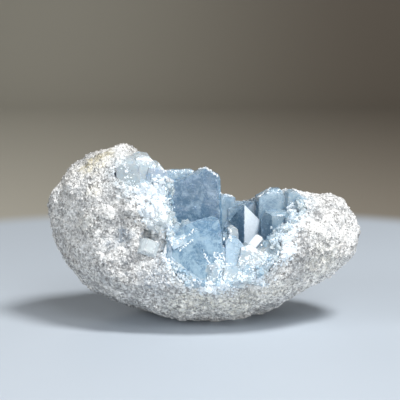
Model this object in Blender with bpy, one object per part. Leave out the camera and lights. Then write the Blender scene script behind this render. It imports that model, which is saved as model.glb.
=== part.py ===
"""Celestite geode: a broken nodule of pale granular rock, with blue crystals in its hollow.

Lengths are in millimetres here and are scaled to metres where a mesh is finished. +Z is up and X runs
along the nodule. The hollow opens upwards and towards -Y, the broken front. The origin is on the surface
that the nodule stands on, under the middle of its bounding box, and the last step moves the meshes there.
"""

import math
import random

import bmesh
import bpy
from mathutils import Matrix, Vector, noise

# Driving dimensions, in millimetres.
LENGTH = 120.0
GAP = 0.3
MM = 0.001
SAME_POINT = 1e-6

# The nodule's sections at nine even stations from its left end to its right one: the height of the
# widest line, and how far the section reaches below, above, before and behind it. Each reach is what
# an ellipsoid of that fullness would need, so the ends close by themselves. The crest and the base lean
# back. What is lower than BASE_FLAT is pressed level, and is the spot that the nodule stands on.
WAIST_HEIGHT = (43.0, 40.0, 36.5, 33.0, 30.0, 29.5, 30.5, 32.3, 36.0)
REACH_DOWN = (40.0, 39.0, 36.4, 36.0, 32.8, 30.6, 29.8, 30.3, 31.5)
REACH_UP = (28.0, 33.0, 34.5, 22.8, 17.6, 14.6, 18.8, 23.0, 29.0)
REACH_FRONT = (22.0, 31.0, 35.0, 35.5, 35.0, 34.5, 34.0, 32.0, 28.0)
REACH_BACK = (22.0, 31.0, 35.0, 37.0, 38.0, 37.0, 35.0, 32.0, 28.0)
CREST_LEAN = (0.0, 0.0, 3.0, 9.0, 13.0, 13.0, 8.0, 2.0, 0.0)
BASE_LEAN = 7.0
BASE_FLAT = 0.05

# Waves of lumps on the rock: (wavelength, height).
LUMPS = ((30.0, 2.6), (11.0, 1.5), (4.6, 1.0))
FRACTURE_LUMPS = ((9.0, 1.2), (4.0, 1.1))
NODULE_KEPT = 0.86
# How little the lumps at the two ends push along the nodule.
END_PUSH = 0.6

# Shallow dished breaks on the rock: the middle of the break, the way that it faces, and the radius of
# its dish.
BREAKS = (
    (Vector((-34.0, -23.0, 36.0)), Vector((0.05, -0.98, 0.18)), 60.0),
    (Vector((-20.0, -6.0, 62.0)), Vector((0.45, -0.15, 0.88)), 30.0),
    (Vector((-34.0, 27.0, 46.0)), Vector((-0.25, 0.75, 0.60)), 70.0),
    (Vector((36.0, 25.0, 36.0)), Vector((0.30, 0.80, 0.52)), 70.0),
    (Vector((20.0, -24.0, 8.0)), Vector((0.10, -0.80, -0.60)), 80.0),
)
NODULE_MIDDLE = Vector((0.0, 0.0, 32.0))
DOWN = Vector((0.0, 0.0, -1.0))
RIGHT = Vector((1.0, 0.0, 0.0))

# The hollow is a bowl: its middle, the way that it opens, its half width, half height and depth, how far
# its cut runs out above, and how it widens there. Its wall is uneven by BOWL_WOBBLE, in waves of
# BOWL_WAVE.
BOWL_MIDDLE = Vector((10.5, -3.0, 37.0))
BOWL_AXIS = Vector((0.0, -0.55, 0.835)).normalized()
BOWL_HALF_WIDTH = 27.5
BOWL_HALF_HEIGHT = 23.0
BOWL_DEPTH = 22.0
BOWL_RISE = 55.0
BOWL_FLARE = 0.08
BOWL_SHOULDER = 1.6
BOWL_WOBBLE = 1.2
BOWL_WAVE = 8.0

# Rounder hollows open into it: the broken mouth in the front wall, and two nooks high on the left.
# Each is the middle and the half sizes of an ellipsoid, and the thickness of its lining.
SIDE_HOLLOWS = (
    (Vector((5.5, -36.0, 41.5)), Vector((27.5, 19.0, 24.5)), 1.0),
    (Vector((-24.0, -17.0, 58.5)), Vector((9.0, 7.0, 7.5)), 2.0),
    (Vector((-17.0, -16.0, 54.0)), Vector((7.0, 7.0, 7.0)), 2.0),
)
BLOB_WOBBLE = 1.5
BLOB_WAVE = 7.0

# The lining that the crystals stand on: its thickness at the wall and at the bottom of the bowl, how
# uneven it is, how far its blank reaches into the rock before it is cut back, and how far its edge stays
# below the rock's outside.
LINING_WALL = 2.2
LINING_FLOOR = 7.0
LINING_WOBBLE = 2.2
LINING_INTO_ROCK = 1.0
LINING_EDGE = 1.0

# The large crystals, as seen in the photograph from left to right. Each is a block: the middle of its
# top, the way its length points, the way its widest face looks, its width, depth and length, and the
# cuts that shape it. A cut is (direction round the length from the right-hand side, tilt of the cut's
# normal from the length, depth cut away), in degrees and millimetres.
LARGE_CRYSTALS = (
    ("left_back", (-9.6, 13.0, 56.0), (-0.02, 0.03, 1.0), (0.1, -1.0, 0.0), 13.0, 8.0, 30.0,
     ((0, 35, 1.2), (180, 25, 1.0), (-90, 40, 0.8), (90, 35, 1.5))),
    ("left_tall", (-4.9, 7.6, 57.4), (-0.05, 0.04, 1.0), (0.04, -1.0, 0.05), 21.5, 11.5, 42.0,
     ((180, 22, 5.9), (0, 34, 3.1), (-45, 90, 0.8), (90, 30, 3.0))),
    ("left_side", (-18.0, -2.0, 46.5), (0.1, -0.05, 1.0), (0.35, -1.0, 0.1), 6.5, 8.0, 20.0,
     ((180, 35, 1.8), (0, 25, 0.8), (-90, 35, 1.2))),
    ("front_fat", (-3.6, -15.0, 41.4), (0.03, 0.36, 0.93), (-0.06, -0.93, 0.36), 22.0, 13.0, 25.5,
     ((180, 46, 8.4), (0, 50, 2.2), (180, 22, 2.1), (0, 20, 0.5), (-90, 40, 1.4), (0, 80, 1.2),
      (-135, 90, 1.5))),
    ("front_ledge", (-7.8, -20.9, 36.7), (-0.44, 0.32, 0.82), (0.12, -0.92, 0.38), 12.5, 5.0, 4.4,
     ((-90, 50, 0.5), (0, 24, 1.4), (180, 30, 0.8))),
    ("front_fill", (6.6, -22.0, 32.6), (0.06, 0.25, 0.97), (0.0, -1.0, 0.3), 4.6, 7.0, 14.0,
     ((0, 35, 0.8), (180, 40, 1.0), (-90, 35, 0.8))),
    ("pointed", (15.8, 0.4, 45.6), (0.0, 0.03, 1.0), (-0.707, -0.707, 0.0), 7.0, 8.4, 28.0,
     ((138, 50, 8.7),)),
    ("pointed_white", (10.6, -10.0, 37.6), (-0.05, -0.05, 1.0), (0.3, -1.0, 0.1), 3.2, 4.0, 14.0,
     ((0, 40, 0.8), (180, 35, 0.8))),
    ("small_back", (9.0, 13.0, 46.2), (0.05, 0.05, 1.0), (0.2, -1.0, 0.0), 5.6, 6.0, 18.0,
     ((0, 30, 1.0), (180, 20, 0.6), (90, 40, 1.2))),
    ("ridge_back", (16.0, 14.0, 43.4), (0.0, 0.1, 1.0), (0.0, -1.0, 0.1), 13.0, 9.0, 22.0,
     ((180, 16, 2.6), (0, 40, 1.5), (90, 30, 3.0))),
    ("right_tall", (29.2, 8.0, 49.6), (0.02, 0.05, 1.0), (0.08, -1.0, 0.05), 17.0, 12.0, 34.0,
     ((180, 37, 3.0), (0, 57, 7.4), (90, 35, 3.0), (-90, 60, 0.8))),
    ("right_low", (27.8, -2.0, 42.0), (-0.02, 0.05, 1.0), (-0.05, -1.0, 0.12), 12.0, 12.0, 28.0,
     ((225, 90, 3.0), (180, 60, 1.6), (0, 40, 1.8), (-90, 30, 0.8))),
    ("right_fill", (33.2, -8.5, 42.8), (-0.2, -0.1, 1.0), (0.15, -1.0, 0.2), 6.5, 7.0, 14.0,
     ((0, 40, 1.4), (180, 35, 1.2), (-90, 40, 1.2))),
    ("right_front", (31.9, -14.5, 39.4), (0.05, 0.1, 1.0), (-0.15, -1.0, 0.3), 8.4, 9.0, 20.0,
     ((0, 45, 2.4), (180, 35, 1.6), (-90, 40, 1.0))),
    ("front_peak", (11.8, -21.0, 36.0), (0.02, 0.2, 0.98), (0.1, -0.97, 0.2), 8.6, 8.0, 16.0,
     ((0, 50, 3.8), (180, 48, 1.5), (-90, 30, 0.8))),
    ("front_plate", (21.8, -15.0, 33.6), (0.62, 0.3, 0.72), (-0.3, -0.65, 0.7), 3.8, 5.0, 14.0,
     ((0, 35, 0.6), (180, 60, 0.4))),
    ("front_lump", (19.6, -22.0, 32.4), (0.25, 0.1, 1.0), (0.15, -1.0, 0.25), 12.5, 10.0, 13.0,
     ((0, 42, 4.2), (180, 30, 1.4), (-90, 50, 1.5), (45, 60, 1.2), (0, 20, 1.0))),
    ("front_side", (30.4, -20.0, 36.4), (0.25, 0.1, 1.0), (0.3, -1.0, 0.15), 7.0, 8.0, 14.0,
     ((0, 40, 1.8), (180, 30, 1.0), (-90, 35, 0.8))),
    ("front_base_a", (4.6, -26.0, 28.0), (0.3, 0.15, 1.0), (0.7, -0.8, 0.3), 6.5, 7.0, 12.0,
     ((180, 40, 2.0), (0, 35, 1.2), (-90, 50, 1.2))),
    ("front_base_b", (11.0, -24.2, 26.0), (0.05, 0.35, 1.0), (0.1, -1.0, 0.4), 8.0, 7.5, 9.0,
     ((180, 30, 1.2), (0, 40, 1.5), (-90, 50, 0.8))),
    ("front_base_c", (17.6, -23.6, 26.0), (0.1, 0.4, 1.0), (0.3, -1.0, 0.4), 8.5, 7.0, 8.0,
     ((180, 30, 1.2), (0, 40, 1.5), (-90, 50, 0.8))),
    ("top_left_a", (-27.6, -15.5, 64.0), (-0.05, -0.1, 1.0), (-0.15, -1.0, 0.1), 8.5, 8.5, 14.0,
     ((0, 38, 1.6), (180, 45, 2.2), (-90, 35, 1.2))),
    ("top_left_b", (-21.5, -12.5, 65.0), (0.15, -0.05, 1.0), (0.2, -1.0, 0.05), 8.5, 9.5, 18.0,
     ((0, 42, 2.4), (180, 30, 1.0), (-90, 40, 1.2))),
    ("top_left_c", (-17.6, -12.5, 61.6), (0.25, -0.1, 1.0), (0.35, -1.0, 0.15), 7.5, 9.0, 17.0,
     ((0, 35, 1.6), (180, 30, 0.8), (-90, 35, 0.8))),
    ("top_left_d", (-23.5, -19.0, 55.5), (-0.15, -0.3, 1.0), (0.1, -1.0, 0.1), 8.5, 6.0, 9.0,
     ((0, 35, 1.5), (180, 45, 2.0))),
    ("top_left_e", (-29.5, -17.5, 56.0), (-0.35, -0.2, 1.0), (-0.3, -1.0, 0.1), 5.5, 5.0, 9.0,
     ((0, 25, 0.8), (180, 40, 1.0))),
    ("rim_right_a", (34.0, 2.0, 49.4), (0.05, 0.0, 1.0), (0.2, -1.0, 0.2), 4.6, 6.0, 12.0,
     ((180, 25, 0.8), (0, 40, 1.0))),
    ("rim_right_b", (37.4, 0.5, 47.6), (0.2, 0.0, 1.0), (0.1, -1.0, 0.3), 4.6, 6.0, 12.0,
     ((0, 25, 0.8), (180, 50, 1.0))),
    ("rim_left_a", (-14.2, -19.0, 42.0), (0.5, -0.25, 0.5), (0.2, -0.8, 0.5), 5.0, 4.5, 10.0,
     ((0, 35, 0.8), (180, 35, 0.8))),
)

# The small crystals that cover the rest of the lining: the share of the bowl's height that they are
# spread over, from -1 at its bottom, their sizes, and how far they lean out of the bowl and astray. They
# keep below the rim and behind the mouth, and are smaller where the large crystals stand.
SMALL_CRYSTALS = 110
SMALL_BAND = (-0.97, 0.19)
SMALL_WIDTHS = (4.2, 8.0)
SMALL_FLATNESS = 0.8
SMALL_LENGTHS = (9.0, 15.5)
SMALL_CHISELS = (30, 50)
SMALL_CUTS = (0.28, 0.30, 0.12)
SMALL_OUTWARD = 0.7
SMALL_ASTRAY = 0.35
SMALL_TOP = 41.0
SMALL_REACH = 44.0
SMALL_HALF_TOP = 0.6
SMALL_FRONT = -15.0
SMALL_LEAST_LENGTH = 5.0
SMALL_SUNK = 2.5
# Where large crystals stand close to the wall the small ones are CROWDED_SCALE times as large: the least
# and the greatest x, and the least height.
CROWDED_SCALE = 0.6
CROWDED_SPOTS = ((-math.inf, 6.0, 26.0), (22.0, math.inf, 34.0))
CROWDED_FRONT = -8.0

# Pale blocks grown on the broken left face, and gaps between them that keep the print of a block.
# Each is the middle of its end, the way it points, and its width, depth and length.
FACE_BLOCKS = (
    ((-19.6, -26.6, 32.6), (0.35, -1.0, 0.3), 6.4, 5.4, 7.0),
    ((-25.0, -26.8, 25.6), (-0.3, -1.0, 0.5), 5.6, 4.6, 6.0),
    ((-14.6, -25.2, 43.2), (0.45, -1.0, 0.5), 5.2, 4.4, 7.0),
    ((-18.6, -24.4, 40.6), (-0.1, -1.0, 0.6), 5.2, 3.0, 6.0),
    ((-35.0, -24.0, 45.5), (0.2, -1.0, 0.7), 5.4, 4.2, 6.0),
    ((-26.0, -24.6, 47.5), (0.3, -1.0, 0.6), 5.0, 4.0, 5.0),
)
FACE_GAPS = (
    ((-22.0, -30.0, 37.2), (-0.25, -1.0, 0.25), 5.0, 4.4, 9.0),
    ((-14.8, -30.0, 33.0), (0.2, -1.0, 0.1), 2.2, 5.6, 7.0),
)
FACE_BLOCK_CUTS = ((0, 42, 1.1), (180, 35, 1.0), (90, 50, 0.8))
FACE_BLOCK_FACING = (0.4, 0.1, 1.0)

ROCK_COLOUR = (0.74, 0.74, 0.72, 1.0)
ROCK_ROUGHNESS = 0.9
CRYSTAL_COLOUR = (0.52, 0.68, 0.80, 1.0)
CRYSTAL_ROUGHNESS = 0.15


def station(values, along):
    """The value at along, from -1 at the left end to 1 at the right one, smooth between the stations."""
    place = (along + 1) / 2 * (len(values) - 1)
    i = min(int(place), len(values) - 2)
    t = place - i
    before, a, b, after = (values[min(max(i + k, 0), len(values) - 1)] for k in (-1, 0, 1, 2))
    return 0.5 * (
        2 * a
        + (b - before) * t
        + (2 * before - 5 * a + 4 * b - after) * t * t
        + (3 * a - before - 3 * b + after) * t**3
    )


def lumps(point, waves):
    """The height of the lumps at a point."""
    return sum(height * noise.noise(point / wavelength) for wavelength, height in waves)


def nodule_point(way):
    """Where the nodule's smooth surface lies for a direction on the unit sphere."""
    along = max(-1.0, min(1.0, way.x))
    waist = station(WAIST_HEIGHT, along)
    up = way.z > 0
    reach = station(REACH_UP if up else REACH_DOWN, along)
    depth = station(REACH_BACK if way.y > 0 else REACH_FRONT, along)
    lean = station(CREST_LEAN, along) * way.z if up else -BASE_LEAN * way.z**3
    return Vector((along * LENGTH / 2, way.y * depth + lean, waist + way.z * reach))


def held_behind(point, on, facing, bump=0.0):
    """The point drawn in towards the nodule's middle until it is behind a break, or bump before it."""
    facing = facing.normalized()
    ray = point - NODULE_MIDDLE
    outward = ray.dot(facing)
    allowed = (on - NODULE_MIDDLE).dot(facing) + bump
    return NODULE_MIDDLE + ray * (allowed / outward) if outward > allowed else point


def make_object(name, bm, collection, helper=True):
    """A mesh object in metres from a bmesh in millimetres."""
    bmesh.ops.recalc_face_normals(bm, faces=bm.faces)
    bmesh.ops.scale(bm, vec=(MM, MM, MM), verts=bm.verts)
    mesh = bpy.data.meshes.new(name)
    bm.to_mesh(mesh)
    bm.free()
    obj = bpy.data.objects.new(name, mesh)
    collection.objects.link(obj)
    if helper:
        obj.hide_render = True
        obj.display_type = "WIRE"
    return obj


def nodule(name, collection, grow=0.0, detail=5, rough=True):
    """The whole nodule: an icosphere drawn out, lumped and broken flat in places, with no hollow yet."""
    bm = bmesh.new()
    bmesh.ops.create_icosphere(bm, subdivisions=detail, radius=1.0)
    for vert in bm.verts:
        way = vert.co.copy()
        point = nodule_point(way)
        outward = Vector((way.x * END_PUSH, way.y, way.z)).normalized()
        if rough:
            point += outward * lumps(point, LUMPS)
        point += outward * grow
        for on, facing, dish in BREAKS:
            bump = lumps(point, FRACTURE_LUMPS) if rough else 0.0
            dished = (point - on).length_squared / (2 * dish)
            point = held_behind(point, on, facing, bump + grow + dished)
        vert.co = held_behind(point, Vector(), DOWN)
    obj = make_object(name, bm, collection)
    if rough:
        thinned = obj.modifiers.new("thinned", "DECIMATE")
        thinned.ratio = NODULE_KEPT
    return obj


def bowl_point(way, inset=0.0, floor_inset=0.0):
    """A point of the bowl for a direction whose z runs out of it: half an ellipsoid, then a flared tube."""
    across = BOWL_AXIS.cross(RIGHT).normalized()
    around = Vector((way.x, way.y))
    if way.z > 0 and around.length > 0:
        around = around.normalized() * min(1.0, around.length * BOWL_SHOULDER) * (1 + BOWL_FLARE * way.z)
    depth = (BOWL_DEPTH - floor_inset) * way.z if way.z < 0 else BOWL_RISE * way.z
    return (
        BOWL_MIDDLE
        + RIGHT * around.x * (BOWL_HALF_WIDTH - inset)
        + across * around.y * (BOWL_HALF_HEIGHT - inset)
        + BOWL_AXIS * depth
    )


def bowl(name, collection, inset=0.0, floor_inset=0.0, wobble=BOWL_WOBBLE):
    """The hollow's shape, or with an inset the free space inside the lining."""
    bm = bmesh.new()
    bmesh.ops.create_icosphere(bm, subdivisions=3, radius=1.0)
    for vert in bm.verts:
        way = vert.co.copy()
        point = bowl_point(way, inset, floor_inset)
        vert.co = point + (point - BOWL_MIDDLE).normalized() * wobble * noise.noise(point / BOWL_WAVE)
    return make_object(name, bm, collection)


def blob(name, collection, middle, half_sizes, shrink=0.0, detail=3):
    """An uneven ellipsoid."""
    bm = bmesh.new()
    bmesh.ops.create_icosphere(bm, subdivisions=detail, radius=1.0)
    for vert in bm.verts:
        way = vert.co.copy()
        point = middle + Vector(w * (h - shrink) for w, h in zip(way, half_sizes))
        vert.co = point + way * BLOB_WOBBLE * noise.noise(point / BLOB_WAVE)
    return make_object(name, bm, collection)


def slice_off(bm, normal, depth):
    """Cuts the convex mesh flat, depth inside its furthest point along normal."""
    furthest = max(v.co.dot(normal) for v in bm.verts)
    cut = bmesh.ops.bisect_plane(
        bm,
        geom=bm.verts[:] + bm.edges[:] + bm.faces[:],
        plane_co=normal * (furthest - depth),
        plane_no=normal,
        clear_outer=True,
        dist=SAME_POINT,
    )
    edges = [e for e in cut["geom_cut"] if isinstance(e, bmesh.types.BMEdge)]
    if edges:
        bmesh.ops.edgeloop_fill(bm, edges=edges)


def crystal(name, collection, top, axis, facing, width, depth, length, cuts):
    """A block crystal with its cuts, placed by the middle of its top."""
    bm = bmesh.new()
    bmesh.ops.create_cube(bm, size=1.0)
    bmesh.ops.scale(bm, vec=(width, depth, length), verts=bm.verts)
    bmesh.ops.translate(bm, vec=(0, 0, -length / 2), verts=bm.verts)
    for round_by, tilt, cut_depth in cuts:
        turn, lean = math.radians(round_by), math.radians(tilt)
        normal = Vector((math.cos(turn) * math.sin(lean), math.sin(turn) * math.sin(lean), math.cos(lean)))
        slice_off(bm, normal, cut_depth)
    up = Vector(axis).normalized()
    back = -Vector(facing)
    back = (back - up * back.dot(up)).normalized()
    right = back.cross(up)
    frame = Matrix((right, back, up)).transposed().to_4x4()
    bmesh.ops.transform(bm, matrix=Matrix.Translation(Vector(top)) @ frame, verts=bm.verts)
    return make_object(name, bm, collection)


def face_block(name, collection, top, axis, width, depth, length):
    """A block with a chisel end, turned as the blocks on the broken face are."""
    return crystal(name, collection, top, axis, FACE_BLOCK_FACING, width, depth, length, FACE_BLOCK_CUTS)


def crowded(spot):
    """Whether large crystals stand close to the wall here: the tall ones on the left and on the right."""
    within = any(low < spot.x < high and spot.z > least for low, high, least in CROWDED_SPOTS)
    return within and spot.y > CROWDED_FRONT


def small_crystals(collection):
    """Crystals spread evenly over the bowl's wall, pointing into the hollow and out of its mouth."""
    chance = random.Random(11)
    golden = math.pi * (3 - math.sqrt(5))
    low, high = SMALL_BAND
    for n in range(SMALL_CRYSTALS):
        z = low + (high - low) * (n + 0.5) / SMALL_CRYSTALS
        ring = math.sqrt(1 - z * z)
        turn = golden * n
        on_wall = bowl_point(Vector((ring * math.cos(turn), ring * math.sin(turn), z)))
        inward = (BOWL_MIDDLE - on_wall).normalized()
        astray = Vector(chance.uniform(-SMALL_ASTRAY, SMALL_ASTRAY) for _ in range(3))
        axis = (inward + BOWL_AXIS * SMALL_OUTWARD + astray).normalized()
        scale = CROWDED_SCALE if crowded(on_wall) else 1.0
        width = chance.uniform(*SMALL_WIDTHS) * scale
        length = chance.uniform(*SMALL_LENGTHS) * scale
        facing = Vector(chance.uniform(-1, 1) for _ in range(3))
        chisel = chance.uniform(*SMALL_CHISELS)
        if axis.z > 0:
            length = min(length, (SMALL_TOP - on_wall.z) / axis.z + SMALL_SUNK)
        top = on_wall + axis * (length - SMALL_SUNK)
        too_high = length < SMALL_LEAST_LENGTH or top.z + width * SMALL_HALF_TOP > SMALL_REACH
        if too_high or on_wall.y < SMALL_FRONT:
            continue
        right, left, back = (width * share for share in SMALL_CUTS)
        cuts = ((0, chisel, right), (180, chisel, left), (90, 90 - chisel / 2, back))
        depth = width * SMALL_FLATNESS
        crystal(f"small_{n:03d}", collection, top, axis, facing, width, depth, length, cuts)


def combine(target, operation, others, solver="EXACT"):
    """A Boolean of target with one object, or with each object of a collection."""
    modifier = target.modifiers.new(operation.lower(), "BOOLEAN")
    modifier.operation = operation
    modifier.solver = solver
    if isinstance(others, bpy.types.Collection):
        modifier.operand_type = "COLLECTION"
        modifier.collection = others
    else:
        modifier.object = others
    return modifier


def baked(obj, name, collection, helper=True):
    """A new object with the mesh that obj's modifiers make."""
    bpy.context.view_layer.update()
    graph = bpy.context.evaluated_depsgraph_get()
    mesh = bpy.data.meshes.new_from_object(obj.evaluated_get(graph))
    mesh.name = name
    made = bpy.data.objects.new(name, mesh)
    collection.objects.link(made)
    if helper:
        made.hide_render = True
        made.display_type = "WIRE"
    return made


def keep_largest(obj):
    """Removes every loose body but the one with the most vertices."""
    bm = bmesh.new()
    bm.from_mesh(obj.data)
    unseen = set(bm.verts)
    islands = []
    while unseen:
        stack = [unseen.pop()]
        island = []
        while stack:
            vert = stack.pop()
            island.append(vert)
            for edge in vert.link_edges:
                other = edge.other_vert(vert)
                if other in unseen:
                    unseen.remove(other)
                    stack.append(other)
        islands.append(island)
    islands.sort(key=len)
    for island in islands[:-1]:
        bmesh.ops.delete(bm, geom=island, context="VERTS")
    bm.to_mesh(obj.data)
    bm.free()


def centre_on_origin(objects):
    """Moves the meshes together, so that the middle of their bounding box is over the origin."""
    corners = [Vector(corner) for obj in objects for corner in obj.bound_box]
    middle = Vector((min(c[i] for c in corners) + max(c[i] for c in corners)) / 2 for i in (0, 1))
    for obj in objects:
        obj.data.transform(Matrix.Translation((-middle.x, -middle.y, 0)))


def finish_material(obj, name, colour, roughness):
    """Gives the object one plain material."""
    material = bpy.data.materials.new(name)
    material.use_nodes = True
    shader = material.node_tree.nodes["Principled BSDF"]
    shader.inputs["Base Color"].default_value = colour
    shader.inputs["Roughness"].default_value = roughness
    shader.inputs["Metallic"].default_value = 0.0
    obj.data.materials.clear()
    obj.data.materials.append(material)


def make_rock(part, helpers):
    """The rock: the nodule less the hollow and the mouth, with the pale blocks grown on its broken face."""
    whole = nodule("nodule_whole", helpers)
    combine(whole, "DIFFERENCE", bowl("bowl_cut", helpers))
    for middle, half_sizes, _ in SIDE_HOLLOWS:
        combine(whole, "DIFFERENCE", blob("side_cut", helpers, middle, half_sizes))
    for shape in FACE_GAPS:
        combine(whole, "DIFFERENCE", face_block("gap", helpers, *shape))
    for shape in FACE_BLOCKS:
        combine(whole, "UNION", face_block("block", helpers, *shape))
    rock = baked(whole, "rock_shell", part, helper=False)
    keep_largest(rock)
    for vert in rock.data.vertices:
        if vert.co.z < BASE_FLAT * MM:
            vert.co.z = 0.0
    finish_material(rock, "rock", ROCK_COLOUR, ROCK_ROUGHNESS)
    return rock


def make_crust(rock, part, helpers):
    """The crystals and the lining they share, trimmed to the rim and cut back from the rock by the gap."""
    into = -LINING_INTO_ROCK
    lining = bowl("lining", helpers, inset=into, floor_inset=into, wobble=0.0)
    for middle, half_sizes, _ in SIDE_HOLLOWS:
        combine(lining, "UNION", blob("side_fill", helpers, middle, half_sizes, shrink=into), "MANIFOLD")
    space = bowl("free_space", helpers, LINING_WALL, LINING_FLOOR, LINING_WOBBLE)
    combine(lining, "DIFFERENCE", space, "MANIFOLD")
    for middle, half_sizes, thickness in SIDE_HOLLOWS:
        space = blob("side_space", helpers, middle, half_sizes, shrink=thickness, detail=2)
        combine(lining, "DIFFERENCE", space, "MANIFOLD")
    trim = nodule("nodule_trim", helpers, grow=-LINING_EDGE, detail=4, rough=False)
    combine(lining, "INTERSECT", trim, "MANIFOLD")
    small = bpy.data.collections.new("small_crystals")
    helpers.children.link(small)
    small_crystals(small)
    combine(lining, "UNION", small, "MANIFOLD")
    large = bpy.data.collections.new("large_crystals")
    helpers.children.link(large)
    for name, *shape in LARGE_CRYSTALS:
        crystal(name, large, *shape)
    combine(lining, "UNION", large, "MANIFOLD")
    grown = baked(rock, "rock_grown", helpers)
    displace = grown.modifiers.new("gap", "DISPLACE")
    displace.strength = GAP * MM
    displace.mid_level = 0.0
    combine(lining, "DIFFERENCE", grown, "MANIFOLD")
    crust = baked(lining, "crystal_crust", part, helper=False)
    keep_largest(crust)
    finish_material(crust, "crystal", CRYSTAL_COLOUR, CRYSTAL_ROUGHNESS)
    return crust


def main():
    """Clears the scene and makes the two pieces."""
    for obj in list(bpy.data.objects):
        bpy.data.objects.remove(obj, do_unlink=True)
    scene = bpy.context.scene
    part = bpy.data.collections.new("celestite_geode")
    helpers = bpy.data.collections.new("cutters")
    scene.collection.children.link(part)
    scene.collection.children.link(helpers)
    rock = make_rock(part, helpers)
    crust = make_crust(rock, part, helpers)
    centre_on_origin((rock, crust))
    helpers.hide_render = True


main()
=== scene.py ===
"""The looks of a celestite geode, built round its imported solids.

Lengths are in millimetres, and are scaled to metres where a mesh is finished. Only the floor and the
lights are laid out in metres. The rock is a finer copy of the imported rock. The crystals are the packed
crust joined with finer copies of its large crystals. Grains, small crystals and white sugar are joined
meshes of small blocks.
"""

import math

import bmesh
import bpy
import numpy as np
from mathutils import Matrix, Vector, noise
from mathutils.bvhtree import BVHTree


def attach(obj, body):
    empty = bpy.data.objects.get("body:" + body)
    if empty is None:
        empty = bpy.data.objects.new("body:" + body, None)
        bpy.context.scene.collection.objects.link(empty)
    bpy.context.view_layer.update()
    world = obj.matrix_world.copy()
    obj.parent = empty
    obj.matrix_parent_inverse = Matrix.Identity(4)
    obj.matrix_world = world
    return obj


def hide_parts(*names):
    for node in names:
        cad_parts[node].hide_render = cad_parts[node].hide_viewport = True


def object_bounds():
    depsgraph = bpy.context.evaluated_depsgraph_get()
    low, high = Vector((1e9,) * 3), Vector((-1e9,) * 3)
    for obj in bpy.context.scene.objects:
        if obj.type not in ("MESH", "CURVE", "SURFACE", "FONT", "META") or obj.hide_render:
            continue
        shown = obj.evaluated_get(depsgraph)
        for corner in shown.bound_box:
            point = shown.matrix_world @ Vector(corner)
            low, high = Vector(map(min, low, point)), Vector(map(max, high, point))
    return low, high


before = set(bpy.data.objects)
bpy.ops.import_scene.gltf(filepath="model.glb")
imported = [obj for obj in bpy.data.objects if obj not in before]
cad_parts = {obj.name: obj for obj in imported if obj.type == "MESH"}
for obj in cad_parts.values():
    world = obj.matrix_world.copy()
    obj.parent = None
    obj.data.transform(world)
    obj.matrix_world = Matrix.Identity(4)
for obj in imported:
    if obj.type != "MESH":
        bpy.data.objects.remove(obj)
cad_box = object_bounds()

MM = 0.001
LOW = np.array(cad_box[0]) / MM
HIGH = np.array(cad_box[1]) / MM

# How near two vertices are joined again, in metres.
WELD_REACH = 1e-7

# The camera. The photograph is square, and PHOTO_SIZE pixels wide.
CAMERA_TARGET = Vector((-1.6, -3.5, 46.0))
CAMERA_DISTANCE = 520.0
CAMERA_ELEVATION = 9.0
CAMERA_LENS = 122.5
CAMERA_SENSOR = 36.0
PHOTO_SIZE = 400

# The rock: the spacing of its mesh, the most triangles that are kept, its waves of lumps (wavelength,
# height), and its flat-faced grains (size, height, how steeply their faces tilt).
ROCK_SPACING = 0.52
ROCK_TRIANGLES = 192000
ROCK_LUMPS = ((9.0, 0.36), (4.2, 0.20), (1.1, 0.16))
ROCK_GRAINS = ((2.9, 0.12, 0.20), (1.3, 0.10, 0.22))

# Pits: where they set in along their noise and along the noise that groups them, and their depth.
PIT_ONSET = (0.34, 0.52)
PITTED_ONSET = (0.0, 0.35)
PIT_DEPTH = 0.5

# The pattern of grains: how far off the surface it is read, the level under which a seam is a low spot, and
# what a cell's middle is multiplied by to look up its tilt and its level.
FACET_OFFSET = 0.4
LOW_LEVEL = 0.55
TILT_KEY = 7.31
LEVEL_KEY = 3.7

# How far all the relief is sunk, what is left of it on the blocks of the broken face, how deep it lies at
# least under the crust, and the heights between which it sets in over the flat spot.
ROCK_SUNK = 0.25
BLOCK_RELIEF = 0.25
CRUST_GAP = 0.1
FLAT_SPOT = (0.15, 1.2)

# Noises that vary the rock, each with its wavelength and a shift.
COARSE_NOISE = (12.0, 41.0)
PIT_NOISE = (1.5, 31.0)
PITTED_NOISE = (11.0, 5.0)
FINE_NOISE = (3.4, 9.0)
RAGGED_NOISE = (2.4, 11.0)
FRAYED_NOISE = (0.9, 17.0)
CROWD_NOISE = (6.0, 71.0)

# How near to the crust the rock is hidden, how far that is measured, and the distances from the crust
# between which the pale lining gives way to rock.
HIDDEN_REACH = 1.0
CRUST_REACH = 9.0
HOLLOW_REACH = (0.8, 6.0)

# The break across the rock's left end: a place on it and the way that it faces.
BREAK_PLACE = np.array((-34.1, -26.4, 36.0))
BREAK_FACING = np.array((0.05, -0.98, 0.18))

# Where the broken end and its rind set in along x, and how squarely a face looks the break's way, from 0 to
# 1, where it is broken, where it is rind, and in the middle of the pale rim, with that rim's width.
BROKEN_END = (-6.0, -18.0)
RIND_END = (-14.0, -34.0)
BROKEN_FACING = (0.55, 0.85)
RIND_FACING = (0.72, 0.45)
RIM_FACING = 0.66
RIM_WIDTH = 0.12

# How strong the rind is on the back, half the spacing of its lines and how far they stray, and the parts of
# a normal along y, y and z that set the back, the stained back and the underside off.
BACK_RIND = 0.8
HALF_BAND = 0.8
BAND_WAVER = 0.8
BEHIND_FACING = (-0.1, 0.4)
STAINED_FACING = (0.2, 0.6)
UNDER_FACING = (0.25, -0.35)

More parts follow.
